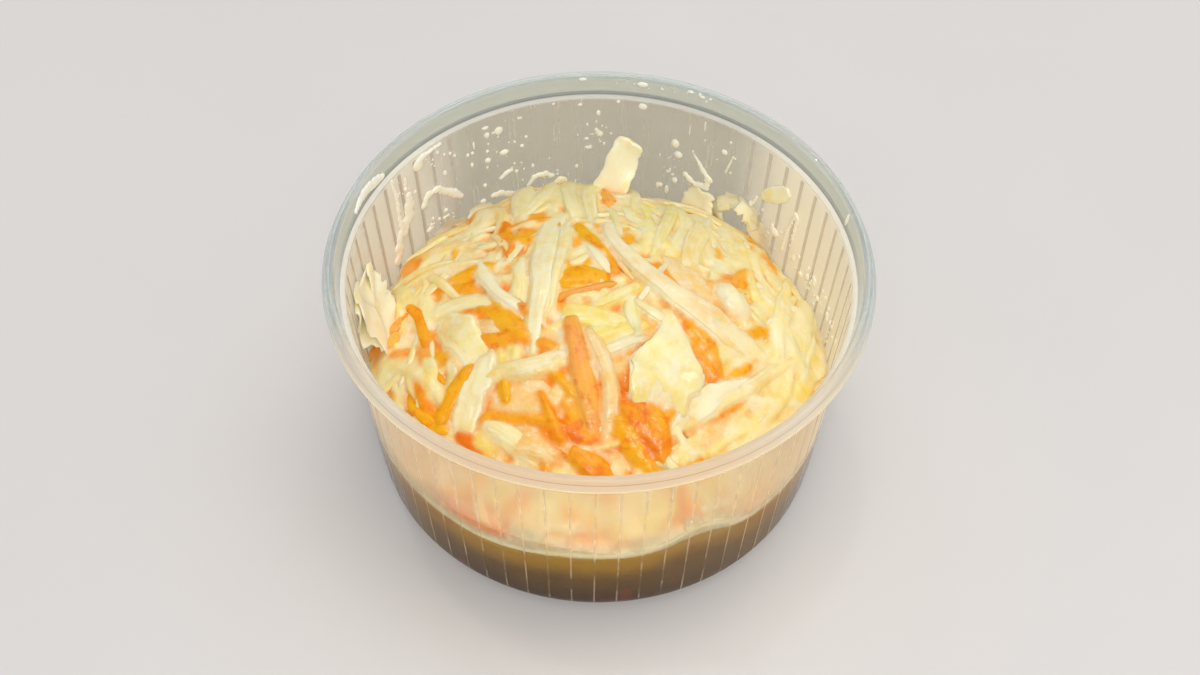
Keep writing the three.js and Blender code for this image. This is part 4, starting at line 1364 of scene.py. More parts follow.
# %% [markdown]
# ## The shreds between
#
# Between the large shreds lie many smaller ones. They are spread evenly by turning each next one by the
# golden angle, as seeds sit in a sunflower, and a seeded draw gives each its heading, bend, size and
# colour. Near the wall they lie more along it. A small shred that crosses a large one is tucked under it,
# and in three creamy places dressing covers the small ones altogether.

# %% Spread the smaller shreds
GOLDEN_ANGLE = math.pi * (3 - math.sqrt(5))
CREAMY_PLACES = ((30, -20, 13), (24, 14, 8), (2, -36, 7))

clear_courses = [row[-1] for row in CABBAGE_BY_HAND if stands_out(row[-1])]
LARGE = np.vstack([smooth_path(course, np.linspace(0, 1, 14)) for course in clear_courses])


def spread(count, seed, low, high, narrow, wide, sink, reach):
    """Yields a course, a draw and a place for each of many small shreds."""
    draw = random.Random(seed)
    for k in range(count):
        radius = reach * math.sqrt((k + 0.5) / count)
        angle = k * GOLDEN_ANGLE + seed
        x, y = radius * math.cos(angle), radius * math.sin(angle)
        if draw.random() < radius / 70:
            heading = angle + math.pi / 2 + draw.uniform(-0.7, 0.7)
        else:
            heading = draw.uniform(0, 2 * math.pi)
        half = draw.uniform(low, high)
        bend = draw.uniform(-0.5, 0.5) * half
        dx, dy = math.cos(heading), math.sin(heading)
        peak = draw.uniform(0.0, 0.8) - sink
        width = draw.uniform(narrow, wide)
        path = [
            (x - dx * half, y - dy * half, -1.9 - sink, width * 0.7),
            (x - dy * bend * 0.8 - dx * half * 0.4, y + dx * bend * 0.8 - dy * half * 0.4, peak, width),
            (x - dy * bend * 0.8 + dx * half * 0.4, y + dx * bend * 0.8 + dy * half * 0.4, peak, width),
            (x + dx * half, y + dy * half, -1.9 - sink, width * 0.7),
        ]
        yield path, draw, x, y


def tucked(path):
    """Lowers a small shred wherever a large one crosses it, so that it runs underneath."""
    course = []
    for x, y, lift, width in path:
        gap = np.hypot(LARGE[:, 0] - x, LARGE[:, 1] - y) - LARGE[:, 3] / 2 - width / 3
        course.append((x, y, min(lift, -0.8) if gap.min() < 0 else lift, width))
    return course


def creamy(x, y):
    """True at the front, the front right and the back right, where dressing covers the small shreds."""
    return any(math.hypot(x - cx, y - cy) < radius for cx, cy, radius in CREAMY_PLACES)


def small_shreds(count, seed, size, width, sink, to_cabbage, to_carrot, orange=1.0, reach=42.5):
    """Lays many shreds with half lengths and widths in two ranges. Covered ones go into the bedding."""
    for number, (open_path, draw, x, y) in enumerate(spread(count, seed, *size, *width, sink, reach)):
        path = tucked(open_path)
        covered = creamy(x, y) or any(low[2] < row[2] for low, row in zip(path, open_path))
        blank = FINE_BLANK if path[1][3] < 2 else SHRED_BLANK
        own_seed = seed * 100 + number
        if draw.random() < carrot_share(x, y) * orange:
            pile = bedding if covered else to_carrot
            shade = draw.choice([CARROT, AMBER, AMBER, COATED_CARROT, PEACH])
            thick, twist = draw.uniform(1.2, 1.8), draw.uniform(-0.6, 0.6)
            lay(pile, blank, path, thick, shade, own_seed, twist, rag=0.08, square=1.6)
        else:
            pile = bedding if covered else to_cabbage
            warm = [BUTTER, BUTTER, PEACH] if carrot_share(x, y) > 0.2 else [WHITE, PALE_GREEN]
            shade = draw.choice(CABBAGE_TINTS + warm)
            thick, twist = draw.uniform(0.9, 1.4), draw.uniform(-0.7, 0.7)
            lay(pile, blank, path, thick, shade, own_seed, twist, cup=0.03, rag=0.10, square=1.5)


small_shreds(210, 3, (6, 14), (1.2, 2.8), 0.0, cabbage, carrot, 0.2, reach=40)
small_shreds(30, 11, (5, 9), (0.9, 1.3), 0.0, cabbage, carrot, 0.3, reach=36)
print("crisp shreds on top:", len(cabbage.points) + len(carrot.points))

# %% [markdown]
# ## The core of the heap
#
# Below the top shreds everything is bound together by creamy dressing, so the heap is a closed lump. It
# could be extruded like the tub, but its edge rises and falls all the way round, and no resize of a flat
# ring gives that. So its rings are worked out from the same formulas as the solids and joined by faces
# in code, with one pole below and one above.

# %% Core of the heap
LAYER_SEGMENTS = 128
AROUND = np.arange(LAYER_SEGMENTS) / LAYER_SEGMENTS * 2 * math.pi
INTO_WALL = 0.06
CORE_FLOOR = 17.6
CORE_DEPTH = 1.5


def ring(radius, height):
    """A ring of points round the axis. Each of the two may differ from angle to angle."""
    radius = radius + 0 * AROUND
    return np.stack([radius * np.cos(AROUND), radius * np.sin(AROUND), height + 0 * AROUND], -1)


def skin_over(rings, first_pole, last_pole):
    """Points and faces of a closed skin over rings, from one pole to the other."""
    count = len(rings[0])
    points = np.vstack([[first_pole], *rings, [last_pole]])
    last = len(points) - 1
    faces = []
    for i in range(count):
        j = (i + 1) % count
        faces.append([0, 1 + j, 1 + i])
        for k in range(len(rings) - 1):
            a, b = 1 + k * count, 1 + (k + 1) * count
            faces.append([a + i, a + j, b + j, b + i])
        end = 1 + (len(rings) - 1) * count
        faces.append([end + i, end + j, last])
    return points, faces


def core_height(angle, radius):
    x, y = radius * np.cos(angle), radius * np.sin(angle)
    lumps = 0.5 * np.sin(x * 0.42 + 1) * np.sin(y * 0.37) + 0.4 * np.sin(x * 0.2 - y * 0.5)
    return heap_height(x, y) - CORE_DEPTH + lumps


low_line = dressing_edge(AROUND)
high_line = heap_edge(AROUND)
wall_low = inner_radius(low_line) + INTO_WALL
wall_high = inner_radius(high_line) + INTO_WALL
core_rings = [
    ring(20, CORE_FLOOR),
    ring(40, CORE_FLOOR),
    ring(wall_low, low_line + 0.1),
    ring((wall_low + wall_high) / 2, (low_line + high_line) / 2),
    ring(wall_high, high_line - 0.3),
]
for share in (0.96, 0.9, 0.8, 0.7, 0.6, 0.5, 0.4, 0.3, 0.2, 0.1):
    core_rings.append(ring(wall_high * share, core_height(AROUND, wall_high * share)))
core_points, core_faces = skin_over(core_rings, (0, 0, CORE_FLOOR), (0, 0, float(core_height(0.0, 0.0))))
core_shade = np.tile(np.array(BUTTER), (len(core_points), 1))
bedding.add(core_points, core_faces, core_shade, np.zeros((len(core_points), 3)))
print("core:", len(core_points), "points")

# %% [markdown]
# ## Sunken shreds
#
# Dressing doesn't hide the shreds in it, it rounds them. Three more layers of small shreds, from long
# and deep to short and shallow, go into the bedding, so that its skin has the knobs and hollows of
# dressed salad and not those of a smooth cream.

# %% Sink smaller shreds into the bedding
small_shreds(130, 5, (7, 13), (2.6, 6.0), 0.75, bedding, bedding, 0.4)
small_shreds(110, 8, (4, 8), (1.4, 3.4), 0.45, bedding, bedding, 0.4)
small_shreds(240, 14, (3, 7), (1.0, 2.0), 0.15, bedding, bedding, 0.3)
print("parts of the bedding:", len(bedding.points))

# %% [markdown]
# ## How high the shreds lie
#
# To know what is a gap, the script needs the height of the surroundings. Rays could be cast, but a grid
# over the plan, one cell to a millimetre, is faster: each cell keeps the highest point in it, and a few
# rounds of averaging spread that over the cells beside it.

# %% Local height of the laid shreds
CELLS = 96
HALF_GRID = 47.5

places_x, places_y = np.meshgrid(np.arange(CELLS) - HALF_GRID, np.arange(CELLS) - HALF_GRID, indexing="ij")
tops = heap_height(places_x, places_y) - 0.6
for pile in (bedding, cabbage, leaves, carrot):
    points = np.vstack(pile.points)
    cells = np.clip(np.round(points[:, :2] + HALF_GRID).astype(int), 0, CELLS - 1)
    capped = np.minimum(points[:, 2], heap_height(*points[:, :2].T) + 2.5)
    np.maximum.at(tops, (cells[:, 0], cells[:, 1]), capped)
for _ in range(4):
    beside_cells = tops[:-2, 1:-1] + tops[2:, 1:-1] + tops[1:-1, :-2] + tops[1:-1, 2:]
    tops[1:-1, 1:-1] = (beside_cells + tops[1:-1, 1:-1]) / 5


def local_top(x, y):
    """Height of the laid shreds around a place, averaged over a few millimetres."""
    across, depth = (np.clip(value + HALF_GRID, 0, CELLS - 1.1) for value in (x, y))
    i, j = across.astype(int), depth.astype(int)
    s, t = across - i, depth - j
    near = tops[i, j] * (1 - t) + tops[i, j + 1] * t
    far = tops[i + 1, j] * (1 - t) + tops[i + 1, j + 1] * t
    return near * (1 - s) + far * s


print("highest shreds:", round(float(tops.max()), 1), "mm")

# %% [markdown]
# ## Painted shade in the gaps
#
# In the gaps of a dressed salad lie carrot juice and thin dressing, and light that comes back out of them
# has passed through both. They look amber and never grey. Rendering that as real liquid would be slow
# and noisy, so each point that lies lower than its surroundings is painted darker and amber, more where
# there is carrot: painted shade in the gaps.


# %% Painted shade in the gaps
def blend(first, second, share):
    """Colours between two, row by row."""
    return first * (1 - share) + second * share


def gap_shaded(points, colours):
    """Paints points that lie lower than their surroundings darker and amber: painted shade in the gaps, tinted by the
    carrot juice and dressing there.
    """
    x, y, z = points.T
    depth = np.clip((local_top(x, y) - z + 0.2) / 1.9, 0, 1)
    depth *= np.clip((43.6 - np.hypot(x, y)) / 1.5, 0, 1)
    juicy = np.clip(carrot_share(x, y) / 0.5, 0, 1)[:, None]
    # The colour of the painted shade in the gaps, more orange where there is carrot.
    gap = blend(light(250, 210, 100), light(248, 150, 4), juicy)
    milky = 0.08 * (1 - juicy) * np.clip(colours[:, 2:] / 0.25, 0, 1)
    colours = blend(colours, light(248, 244, 214), milky)
    share = (0.88 * depth * depth * (3 - 2 * depth))[:, None]
    return colours * (1 - share) + colours * gap * 0.35 * share + gap * 0.65 * share


print("a gap among carrot:", [round(float(c), 2) for c in light(248, 150, 4)])

# %% [markdown]
# ## One skin
#
# A voxel remesh melts core and sunken shreds into one skin, so the gaps fill as thick dressing fills
# them. Bubbles left inside are removed by keeping only what hangs together with the lowest points. The
# flat underside never shows, so its many small faces are dissolved into a few.

# %% Melt the core and the sunken shreds into one skin
VOXEL = 0.42

mass = bedding.mesh()
apply_modifier(mass, "melt", "REMESH", mode="VOXEL", voxel_size=VOXEL * MM)
pick(mass, lambda spots: spots[:, 2] < spots[:, 2].min() + 0.05)
bpy.ops.mesh.select_linked()
bpy.ops.mesh.select_all(action="INVERT")
bpy.ops.mesh.delete(type="VERT")
bpy.ops.object.mode_set(mode="OBJECT")
print("melted:", len(mass.data.polygons), "faces")
pick(mass, lambda spots: (spots[:, 2] < CORE_FLOOR + 0.3) & (np.hypot(spots[:, 0], spots[:, 1]) < 39))
bpy.ops.mesh.select_mode(type="FACE")
bpy.ops.mesh.dissolve_limited(angle_limit=math.radians(20))
bpy.ops.object.mode_set(mode="OBJECT")
apply_modifier(mass, "round", "SMOOTH", factor=0.5, iterations=1)
print("with a plain underside:", len(mass.data.polygons), "faces")

# %% [markdown]
# ## Pressed onto the wall
#
# Where the salad lies on the clear wall, it is flat against it, and the dressing there is smoother than
# on top. Averaging each point with its neighbours along the edges smooths the skin by as much as is
# wanted at each place, and then the points near the wall are moved just into the plastic, so that no
# sliver of air shows between the two.

# %% Round the skin and press it onto the wall
edges = np.empty(len(mass.data.edges) * 2, int)
mass.data.edges.foreach_get("vertices", edges)
edges = edges.reshape(-1, 2)


def blurred(values, share, rounds):
    """Averages values along the skin. share is how much of each point takes part."""
    neighbours = np.bincount(edges.ravel(), minlength=len(values))[:, None]
    for _ in range(rounds):
        total = np.zeros_like(values)
        np.add.at(total, edges[:, 0], values[edges[:, 1]])
        np.add.at(total, edges[:, 1], values[edges[:, 0]])
        values = values + share * (total / neighbours - values)
    return values


spots = points_of(mass) / MM
radius = np.hypot(spots[:, 0], spots[:, 1])
beside = np.clip((radius - inner_radius(spots[:, 2]) + 4.5) / 2.5, 0, 1)[:, None]
spots = blurred(spots, 0.5 * np.clip((radius - 27) / 10, 0, 1)[:, None], 3)
spots = blurred(spots, 0.6 * beside, 14)
radius = np.hypot(spots[:, 0], spots[:, 1])
low = (spots[:, 2] < heap_edge(np.arctan2(spots[:, 1], spots[:, 0])) - 0.2) & (spots[:, 2] > 17)
touching = low & (radius > inner_radius(spots[:, 2]) - 1.1)
spots[touching, :2] *= ((inner_radius(spots[touching, 2]) + INTO_WALL) / radius[touching])[:, None]
mass.data.vertices.foreach_set("co", (spots * MM).ravel())
mass.data.update()
print("dressed mass:", len(mass.data.polygons), "faces,", int(touching.sum()), "points on the wall")

# %% [markdown]
# ## The colours come back
#
# A remesh forgets colours. Blender can carry them over with a Data Transfer modifier, but here each point
# simply looks for the nearest face of what was joined and mixes the colours of its corners, the nearer
# the more. Where the skin is hollow, some blue and green is taken away, as light is lost in a crease.

# %% Give the skin the colour of what lies nearest
laid_points = np.vstack(bedding.points)
laid_shades = np.vstack(bedding.shades)
laid_places = np.vstack(bedding.places)
laid_skin = BVHTree.FromPolygons(laid_points.tolist(), bedding.faces)
shades = np.empty((len(spots), 4))
places = np.empty((len(spots), 3))
for index, spot in enumerate(spots):
    where, _, face, _ = laid_skin.find_nearest(Vector(spot))
    corners = bedding.faces[face]
    closeness = 1 / (0.05 + np.linalg.norm(laid_points[corners] - np.array(where), axis=1) ** 2)
    shades[index] = (laid_shades[corners] * closeness[:, None]).sum(0) / closeness.sum()
    places[index] = (laid_places[corners] * closeness[:, None]).sum(0) / closeness.sum()
# The painted shade of the gaps is laid on the new skin again.
shades[:, :3] = gap_shaded(spots, shades[:, :3])
outward = np.array([tuple(v.normal) for v in mass.data.vertices])
# Painted shade in the creases: where the skin is hollow, blue and green are taken away, more where there is carrot.
hollow = ((blurred(spots, 0.5, 6) - spots) * outward).sum(1)
hollow = np.clip((hollow - 0.03) / 0.22, 0, 1)[:, None]
juice = np.clip(carrot_share(spots[:, 0], spots[:, 1]) / 0.5, 0, 1)[:, None]
crease_shade = blend(np.array([[0.0, 0.22, 0.60]]), np.array([[0.0, 0.42, 0.85]]), juice)
shades[:, :3] *= 1 - 0.8 * hollow * crease_shade
print("hollows:", int((hollow > 0.5).sum()), "points")

# %% [markdown]
# ## The side behind the wall
#
# Through the clear front the salad shows as smooth cream with patches of peach, where carrot lies
# against the wall, and with a pale, rippled line where it meets the soaked layer. That line is a painted
# highlight, the cream and peach are dimmed by a painted shadow of the lip, and the flanks are made paler
# as painted light. The patches lie at a few angles round the tub. The colours of the whole skin are
# blurred first, because dressing carries them from one shred to the next.


# %% Blur the colours and lay them behind the wall
def slow_noise(points, scale):
    """Smooth noise at each point, drawn out by a scale for x, y and z."""
    return np.array([noise.noise(Vector(row)) for row in points * np.array(scale)])


def beside_wall(points, colours):
    """Gives the side that lies on the wall smooth cream and peach in a painted shadow of the lip, paler flanks as
    painted light, and a pale lower edge that is a painted highlight.
    """
    x, y, z = points.T
    angle = np.arctan2(y, x)
    edge = dressing_edge(angle)
    near = (np.clip((np.hypot(x, y) - inner_radius(z) + 1.6) / 0.8, 0, 1) * (z < 30))[:, None]
    patches = 1.2 * bump(angle, -119, 13) + 0.5 * bump(angle, -104, 6)
    patches += 0.7 * bump(angle, -84, 8) + 0.9 * bump(angle, -54, 9)
    peachy = 0.02 + 1.3 * slow_noise(points, (0.13, 0.13, 0.16)) + patches
    peachy = np.clip(peachy * np.clip((z - edge - 1.6) / 3, 0, 1), 0, 1)[:, None]
    # The cream and peach are dimmed: a painted shadow of the lip.
    side = blend(light(212, 202, 166), light(236, 152, 88), peachy)
    # A painted highlight along the line where the salad meets the soaked layer.
    ripple = np.array([noise.noise(Vector((px * 0.3, py * 0.3, 2.0))) for px, py, _ in points])
    line = np.exp(-(((z - edge - 0.6 - 0.5 * ripple) / (0.8 + 0.5 * ripple)) ** 2))[:, None]
    # Paler at the flanks: painted light on the dimly lit sides.
    flank = np.clip((np.abs(x) - 26) / 12, 0, 1)[:, None]
    side = blend(side, light(240, 226, 190), flank)
    side = blend(side, light(255, 246, 214), line)
    return blend(colours, side, near)


shades = blurred(shades, 0.5, 5)
shades = blurred(shades, 0.7 * beside, 20)
shades[:, :3] = beside_wall(spots, shades[:, :3])
places *= np.clip(1 - 2 * beside, 0, 1)
keep_on_points(mass, "shade", "FLOAT_COLOR", shades)
keep_on_points(mass, "strip_place", "FLOAT_VECTOR", places)
mass.data.shade_smooth()
print("points behind the wall:", int((beside > 0.5).sum()))

# %% [markdown]
# ## Wet cabbage, carrot and dressing
#
# Dressed vegetables let light into their surface and shine. The Principled shader's subsurface share
# gives the soft glow, and a thin share of white gloss over it gives the wet shine without the grey edges
# that a full coat would have. The colour comes from the points. Noise lays thin, paler dressing over
# part of it, and noise drawn out along each strip gives its fibres. Cabbage and carrot differ in what
# shows: how blue a colour is tells the finish which of the two it colours.

# %% Food finishes
COAT = screen(254, 246, 216)
GLOSS = 0.035


def food_colour(make, coat_colour, coat_most, fibre, lines, clouds, patches):
    """The colour of each point with its fibres, stains and thin coat of dressing."""
    shade = make.carried("shade", "Color")
    pale = make.ramp(make.node("SeparateColor", {0: shade}).outputs["Blue"], 0.04, 0.22)
    orange = make.inverse(pale)
    blotches = make.noise(make.place(), 420, detail=4, roughness=0.6)

    def tinted(share, colour, tint):
        return make.mix(share, colour, make.mix(1.0, colour, tint, "MULTIPLY"))

    glassy = make.product(make.ramp(patches, 0.50, 0.36, 0.0, 0.75), pale)
    shade = tinted(glassy, shade, (1.0, 0.90, 0.60, 1))
    stained = make.product(make.ramp(clouds, 0.52, 0.72, 0.0, 0.55), pale)
    shade = tinted(stained, shade, (1.0, 0.86, 0.56, 1))
    shade = tinted(make.ramp(lines, 0.35, 0.7, 0.0, fibre), shade, (0.96, 0.91, 0.78, 1))
    amber = make.product(make.ramp(clouds, 0.46, 0.60, 0.0, 0.45), orange)
    shade = make.mix(amber, shade, screen(254, 192, 42))
    deep = make.product(make.ramp(blotches, 0.46, 0.34, 0.0, 0.5), orange)
    shade = make.mix(deep, shade, screen(236, 112, 14))
    milky = make.product(make.ramp(patches, 0.52, 0.66, 0.0, 0.5), pale)
    shade = make.mix(milky, shade, screen(251, 247, 226))
    coat = make.product(make.ramp(blotches, 0.42, 0.68, 0.0, coat_most), pale)
    return make.mix(coat, shade, coat_colour)


def food_finish(name, coat_colour, coat_most, fibre, relief, lined):
    """A finish for wet food. lined is how much its pattern follows the strips and not the place."""
    make = Finish(name)
    strip = make.carried("strip_place", "Vector")
    lines = make.noise(make.stretched(strip, (0.22, 2.4, 1.0)), 1.0, detail=3)
    drawn_out = make.stretched(strip, (0.20, 0.8, 1.0))
    streaks = make.noise(drawn_out, 1.0, detail=3, roughness=0.6, distortion=0.4)
    clouds = make.noise(make.place(), 210, detail=4, roughness=0.65)
    patches = make.total(make.product(streaks, lined), make.product(clouds, 1 - lined))
    grain = make.noise(make.place(), 900, detail=3)
    height = make.total(make.product(lines, lined), make.product(grain, 1 - lined))
    raised = make.bump(height, relief, 0.6)
    flesh = make.node(
        "BsdfPrincipled",
        {
            "Base Color": food_colour(make, coat_colour, coat_most, fibre, lines, clouds, patches),
            "Roughness": 0.5,
            "Normal": raised,
            "Subsurface Weight": 0.35,
            "Subsurface Radius": (0.0007, 0.0006, 0.0004),
            "Subsurface Scale": 1.0,
            "Specular IOR Level": 0.0,
        },
    )
    wet = make.node("BsdfGlossy", {"Color": (1.0, 1.0, 1.0, 1), "Roughness": 0.16, "Normal": raised})
    return make.finish(make.blend_shaders(GLOSS, flesh, wet))


dress(cabbage.mesh(), food_finish("dressed_cabbage", COAT, 0.4, 0.5, 0.0004, 0.7), ["slaw"], "slaw")
dress(leaves.mesh(), food_finish("dressed_leaf", COAT, 0.4, 0.2, 0.0002, 0.3), ["slaw"], "slaw")
carrot_coat = screen(254, 190, 100)
dress(carrot.mesh(), food_finish("dressed_carrot", carrot_coat, 0.2, 0.6, 0.0005, 0.4), ["slaw"], "slaw")
mass_coat = screen(253, 242, 204)
dress(mass, food_finish("dressed_mass", mass_coat, 0.30, 0.3, 0.00045, 0.15), ["slaw"], "slaw")

# %% [markdown]
# ## The soaked layer
#
# Thin dressing has run down and pooled in the lower part of the tub. That part lies in shade, and the
# shade is painted into the piece as dark olive and brown. It fills the tub from its floor to an uneven
# line. Like the core, it has that uneven line in its rings, so it is worked out ring by ring. The piece
# reaches just into the plastic, so that no sliver of air shows between the two. Each point carries its
# depth under the line, for the finish.

# %% Soaked layer
SIDE_STEPS = 10
MIDDLE_LEVEL = 18

floor_level = FLOOR_HEIGHT - INTO_WALL
round_corner = arc(CORNER_CENTRE, CORNER_HEIGHT, CORNER_SIZE + INTO_WALL, -80, -12, 4)
foot_rings = [ring(radius, height) for radius, height in [(FLOOR_EDGE, floor_level), *round_corner]]
side_rings = []
for k in range(SIDE_STEPS + 1):
    height = WALL_FOOT + (low_line - WALL_FOOT) * (k / SIDE_STEPS)
    side_rings.append(ring(inner_radius(height) + INTO_WALL, height))
top_rings = []
for share in (0.95, 0.8, 0.6, 0.4, 0.2):
    radius = wall_low * share
    top_rings.append(ring(radius, MIDDLE_LEVEL + (low_line - MIDDLE_LEVEL) * (radius / FOOD_RADIUS) ** 2))
points, faces = skin_over(foot_rings + side_rings + top_rings, (0, 0, floor_level), (0, 0, MIDDLE_LEVEL))
soaked = piece_from("soaked_layer", points, faces)
edge = dressing_edge(np.arctan2(points[:, 1], points[:, 0]))
keep_on_points(soaked, "depth", "FLOAT", np.clip((edge - points[:, 2]) / edge, 0, 1))
soaked.data.shade_smooth()
print("soaked layer:", len(foot_rings + side_rings + top_rings), "rings")

# %% [markdown]
# ## Soaked shreds and dressing in painted shade
#
# The layer isn't one colour: olive near its line, khaki under it and brown at the floor, painted shade
# that deepens downwards, with shreds that show through as lighter flecks and here and there the rust of a
# carrot. Noise shifts the borders between the three, so that they are cloudy as in a settled sauce.


# %% Finish of the soaked layer
def soaked_finish():
    make = Finish("soaked_layer")
    place = make.place()
    cloud = make.noise(place, 120, detail=5, roughness=0.6)
    flecks = make.noise(make.stretched(place, (1, 1, 2.2)), 420, detail=3, distortion=0.6)
    rust = make.noise(place, 95, detail=3)
    shift = make.product(make.math("SUBTRACT", cloud, 0.5), 0.25)
    deep = make.total(make.carried("depth", "Fac"), shift)
    # Olive near the line, khaki under it and brown at the floor: painted shade over the pooled dressing, darkest at
    # the floor.
    shaded_olive = screen(178, 134, 2)
    shaded_khaki = screen(114, 80, 2)
    shaded_brown = screen(80, 52, 2)
    upper = make.mix(make.ramp(deep, 0.12, 0.46), shaded_olive, shaded_khaki)
    colour = make.mix(make.ramp(deep, 0.35, 0.85), upper, shaded_brown)
    colour = make.mix(make.ramp(flecks, 0.58, 0.72, 0.0, 0.3), colour, screen(150, 120, 56))
    colour = make.mix(make.ramp(rust, 0.60, 0.68, 0.0, 0.6), colour, screen(140, 66, 18))
    bsdf = make.node(
        "BsdfPrincipled",
        {
            "Base Color": colour,
            "Roughness": 0.5,
            "IOR": 1.33,
            "Specular IOR Level": 0.15,
            "Normal": make.bump(flecks, 0.0003, 0.4),
        },
    )
    return make.finish(bsdf)


dress(soaked, soaked_finish(), ["dressing"], "pooled_dressing")

# %% [markdown]
# ## Splashes on the wall
#
# Serving has flicked dressing onto the wall above the heap. Drops are flattened balls, and a smear is a
# chain of them. One round ball is modelled, and each drop is a copy that is turned to lie on the wall,
# stretched to its width and height and sunk a little into the plastic.

# %% Balls pressed onto the wall
FLICKED = screen(254, 226, 182)
WALL_LEAN = 0.105
SEAT_LEAN = 0.18
DEGREE = 0.79

start_clean()
bpy.ops.mesh.primitive_ico_sphere_add(subdivisions=2, radius=1)
bpy.context.object.name = "ball"
BALL_POINTS, BALL_FACES = taken_apart(bpy.context.object)
splashes = Pile("splashes")


def wall_point(degrees, z):
    """A point on the inside of the tub, with the directions round it, up it and away from it."""
    angle = math.radians(degrees)
    above = z - LEDGE_HEIGHT
    radius = inner_radius(z) if above < 0 else seat_foot + above * SEAT_LEAN
    out = np.array([math.cos(angle), math.sin(angle), 0])
    up = out * (WALL_LEAN if above < 0 else SEAT_LEAN) + np.array([0, 0, 1])
    up /= np.linalg.norm(up)
    across = np.array([-out[1], out[0], 0])
    return out * radius + np.array([0, 0, z]), across, up, np.cross(across, up)


def drop(degrees, z, wide, tall):
    """One drop, its width and height in millimetres. Small drops are flatter."""
    centre, across, up, out = wall_point(degrees, z)
    depth = 0.45 * min(1, 0.35 + min(wide, tall) / 1.6)
    axes = np.stack([across * wide / 2, up * tall / 2, out * depth])
    points = BALL_POINTS @ axes + centre + out * INTO_WALL
    splashes.add(points, BALL_FACES, np.tile(np.array(FLICKED), (len(points), 1)), np.zeros((len(points), 3)))


def smear(course, seed):
    """A chain of drops along a course of angle, height and width."""
    draw = random.Random(seed)
    for start, end in zip(course, course[1:]):
        start, end = np.array(start, float), np.array(end, float)
        reach = math.hypot((end[0] - start[0]) * DEGREE, end[1] - start[1])
        steps = max(1, round(reach / (0.35 * min(start[2], end[2]))))
        for i in range(steps + 1):
            degrees, z, width = start + (end - start) * i / steps
            size = width * draw.uniform(0.75, 1.2)
            drop(degrees + draw.uniform(-0.2, 0.2) * width, z + draw.uniform(-0.15, 0.15) * width, size, size)


print("one degree of the wall is about", DEGREE, "mm")

# %% [markdown]
# ## Where the splashes are
#
# Large drops and smears are placed by their angle round the tub, counted from the right, their height
# and their size. The specks are too fine for that, so each row says where they are scattered, how widely
# and how many, and a seeded draw places them.

# %% Drops, smears and specks
DROPS = [
    # angle, height, width, height of the drop
    (124, 36.5, 0.8, 1.4), (123, 41, 0.6, 2.4), (122, 26.2, 1.5, 1.2), (119.5, 38.3, 0.8, 0.9),
    (119.6, 36, 1.5, 1.4), (119.5, 44.2, 1.8, 0.8), (119.2, 42.3, 1.3, 1.5), (116, 42.4, 1.9, 2.1),
    (115, 36.6, 2.2, 1.5), (121, 30, 1.0, 1.1), (112.5, 33, 0.6, 0.8), (110.2, 37, 1.0, 0.9),
    (110, 44, 0.5, 0.8), (107.7, 31.3, 0.7, 1.2), (110, 31, 0.5, 0.8), (96.3, 29.6, 0.8, 1.2),
    (96.6, 25.8, 0.6, 0.9), (95.3, 45.2, 1.1, 0.7), (93.7, 36.6, 1.1, 0.8), (93.2, 34.4, 1.9, 0.9),
    (90.8, 43, 1.0, 1.5), (90.4, 37.8, 1.6, 1.5), (90.3, 35.8, 0.7, 0.6), (89.8, 39.8, 0.5, 0.7),
    (86, 46, 0.9, 0.8), (80, 45.4, 2.0, 1.6), (80.5, 49.6, 2.4, 1.2), (94.5, 50.2, 1.8, 0.7),
    (75, 26, 0.8, 2.2), (72.5, 25.5, 1.0, 2.6), (71.2, 37.8, 1.9, 2.3), (70.2, 35.2, 2.0, 1.8),
    (70.5, 28.5, 1.4, 1.6), (64, 44.3, 0.5, 3.0), (67.8, 42, 0.4, 3.2), (58, 40, 1.5, 1.3),
    (56.6, 43, 0.7, 0.8), (54.8, 39.6, 0.5, 0.5), (48.5, 31, 0.9, 2.0), (44.5, 31.5, 0.6, 1.0),
    (43.7, 25.8, 1.2, 1.0), (39.5, 28.5, 2.4, 2.4), (31, 27, 0.8, 2.4), (144.5, 43, 0.7, 2.4),
    (136.5, 43.3, 0.5, 0.6), (135, 43, 0.6, 0.8), (133, 44, 0.5, 0.5), (131.5, 42.5, 0.6, 0.8),
    (129.8, 42, 0.8, 1.0), (128.6, 40.9, 0.8, 1.0), (142, 38.8, 0.9, 0.7), (132, 38, 0.9, 1.6),
    (139, 27, 2.4, 1.4), (135.7, 27.8, 0.9, 1.0), (134, 27.3, 1.2, 0.9), (131.5, 26, 1.1, 0.9),
    (101.8, 46.0, 0.8, 0.5), (72, 31, 0.6, 0.8), (72.5, 33.8, 0.5, 0.6), (24, 27, 1.4, 1.8),
    (27, 25.5, 1.6, 1.4), (21, 29, 1.0, 1.4), (17, 26.5, 1.2, 1.6), (13, 30, 0.9, 1.3),
    (9, 27.5, 1.4, 1.6), (16, 48.8, 0.8, 3.4), (69, 50.2, 1.6, 0.7), (66, 49.8, 1.2, 0.6),
    (64, 50.0, 0.7, 0.6), (-2, 31, 0.9, 1.8),
]
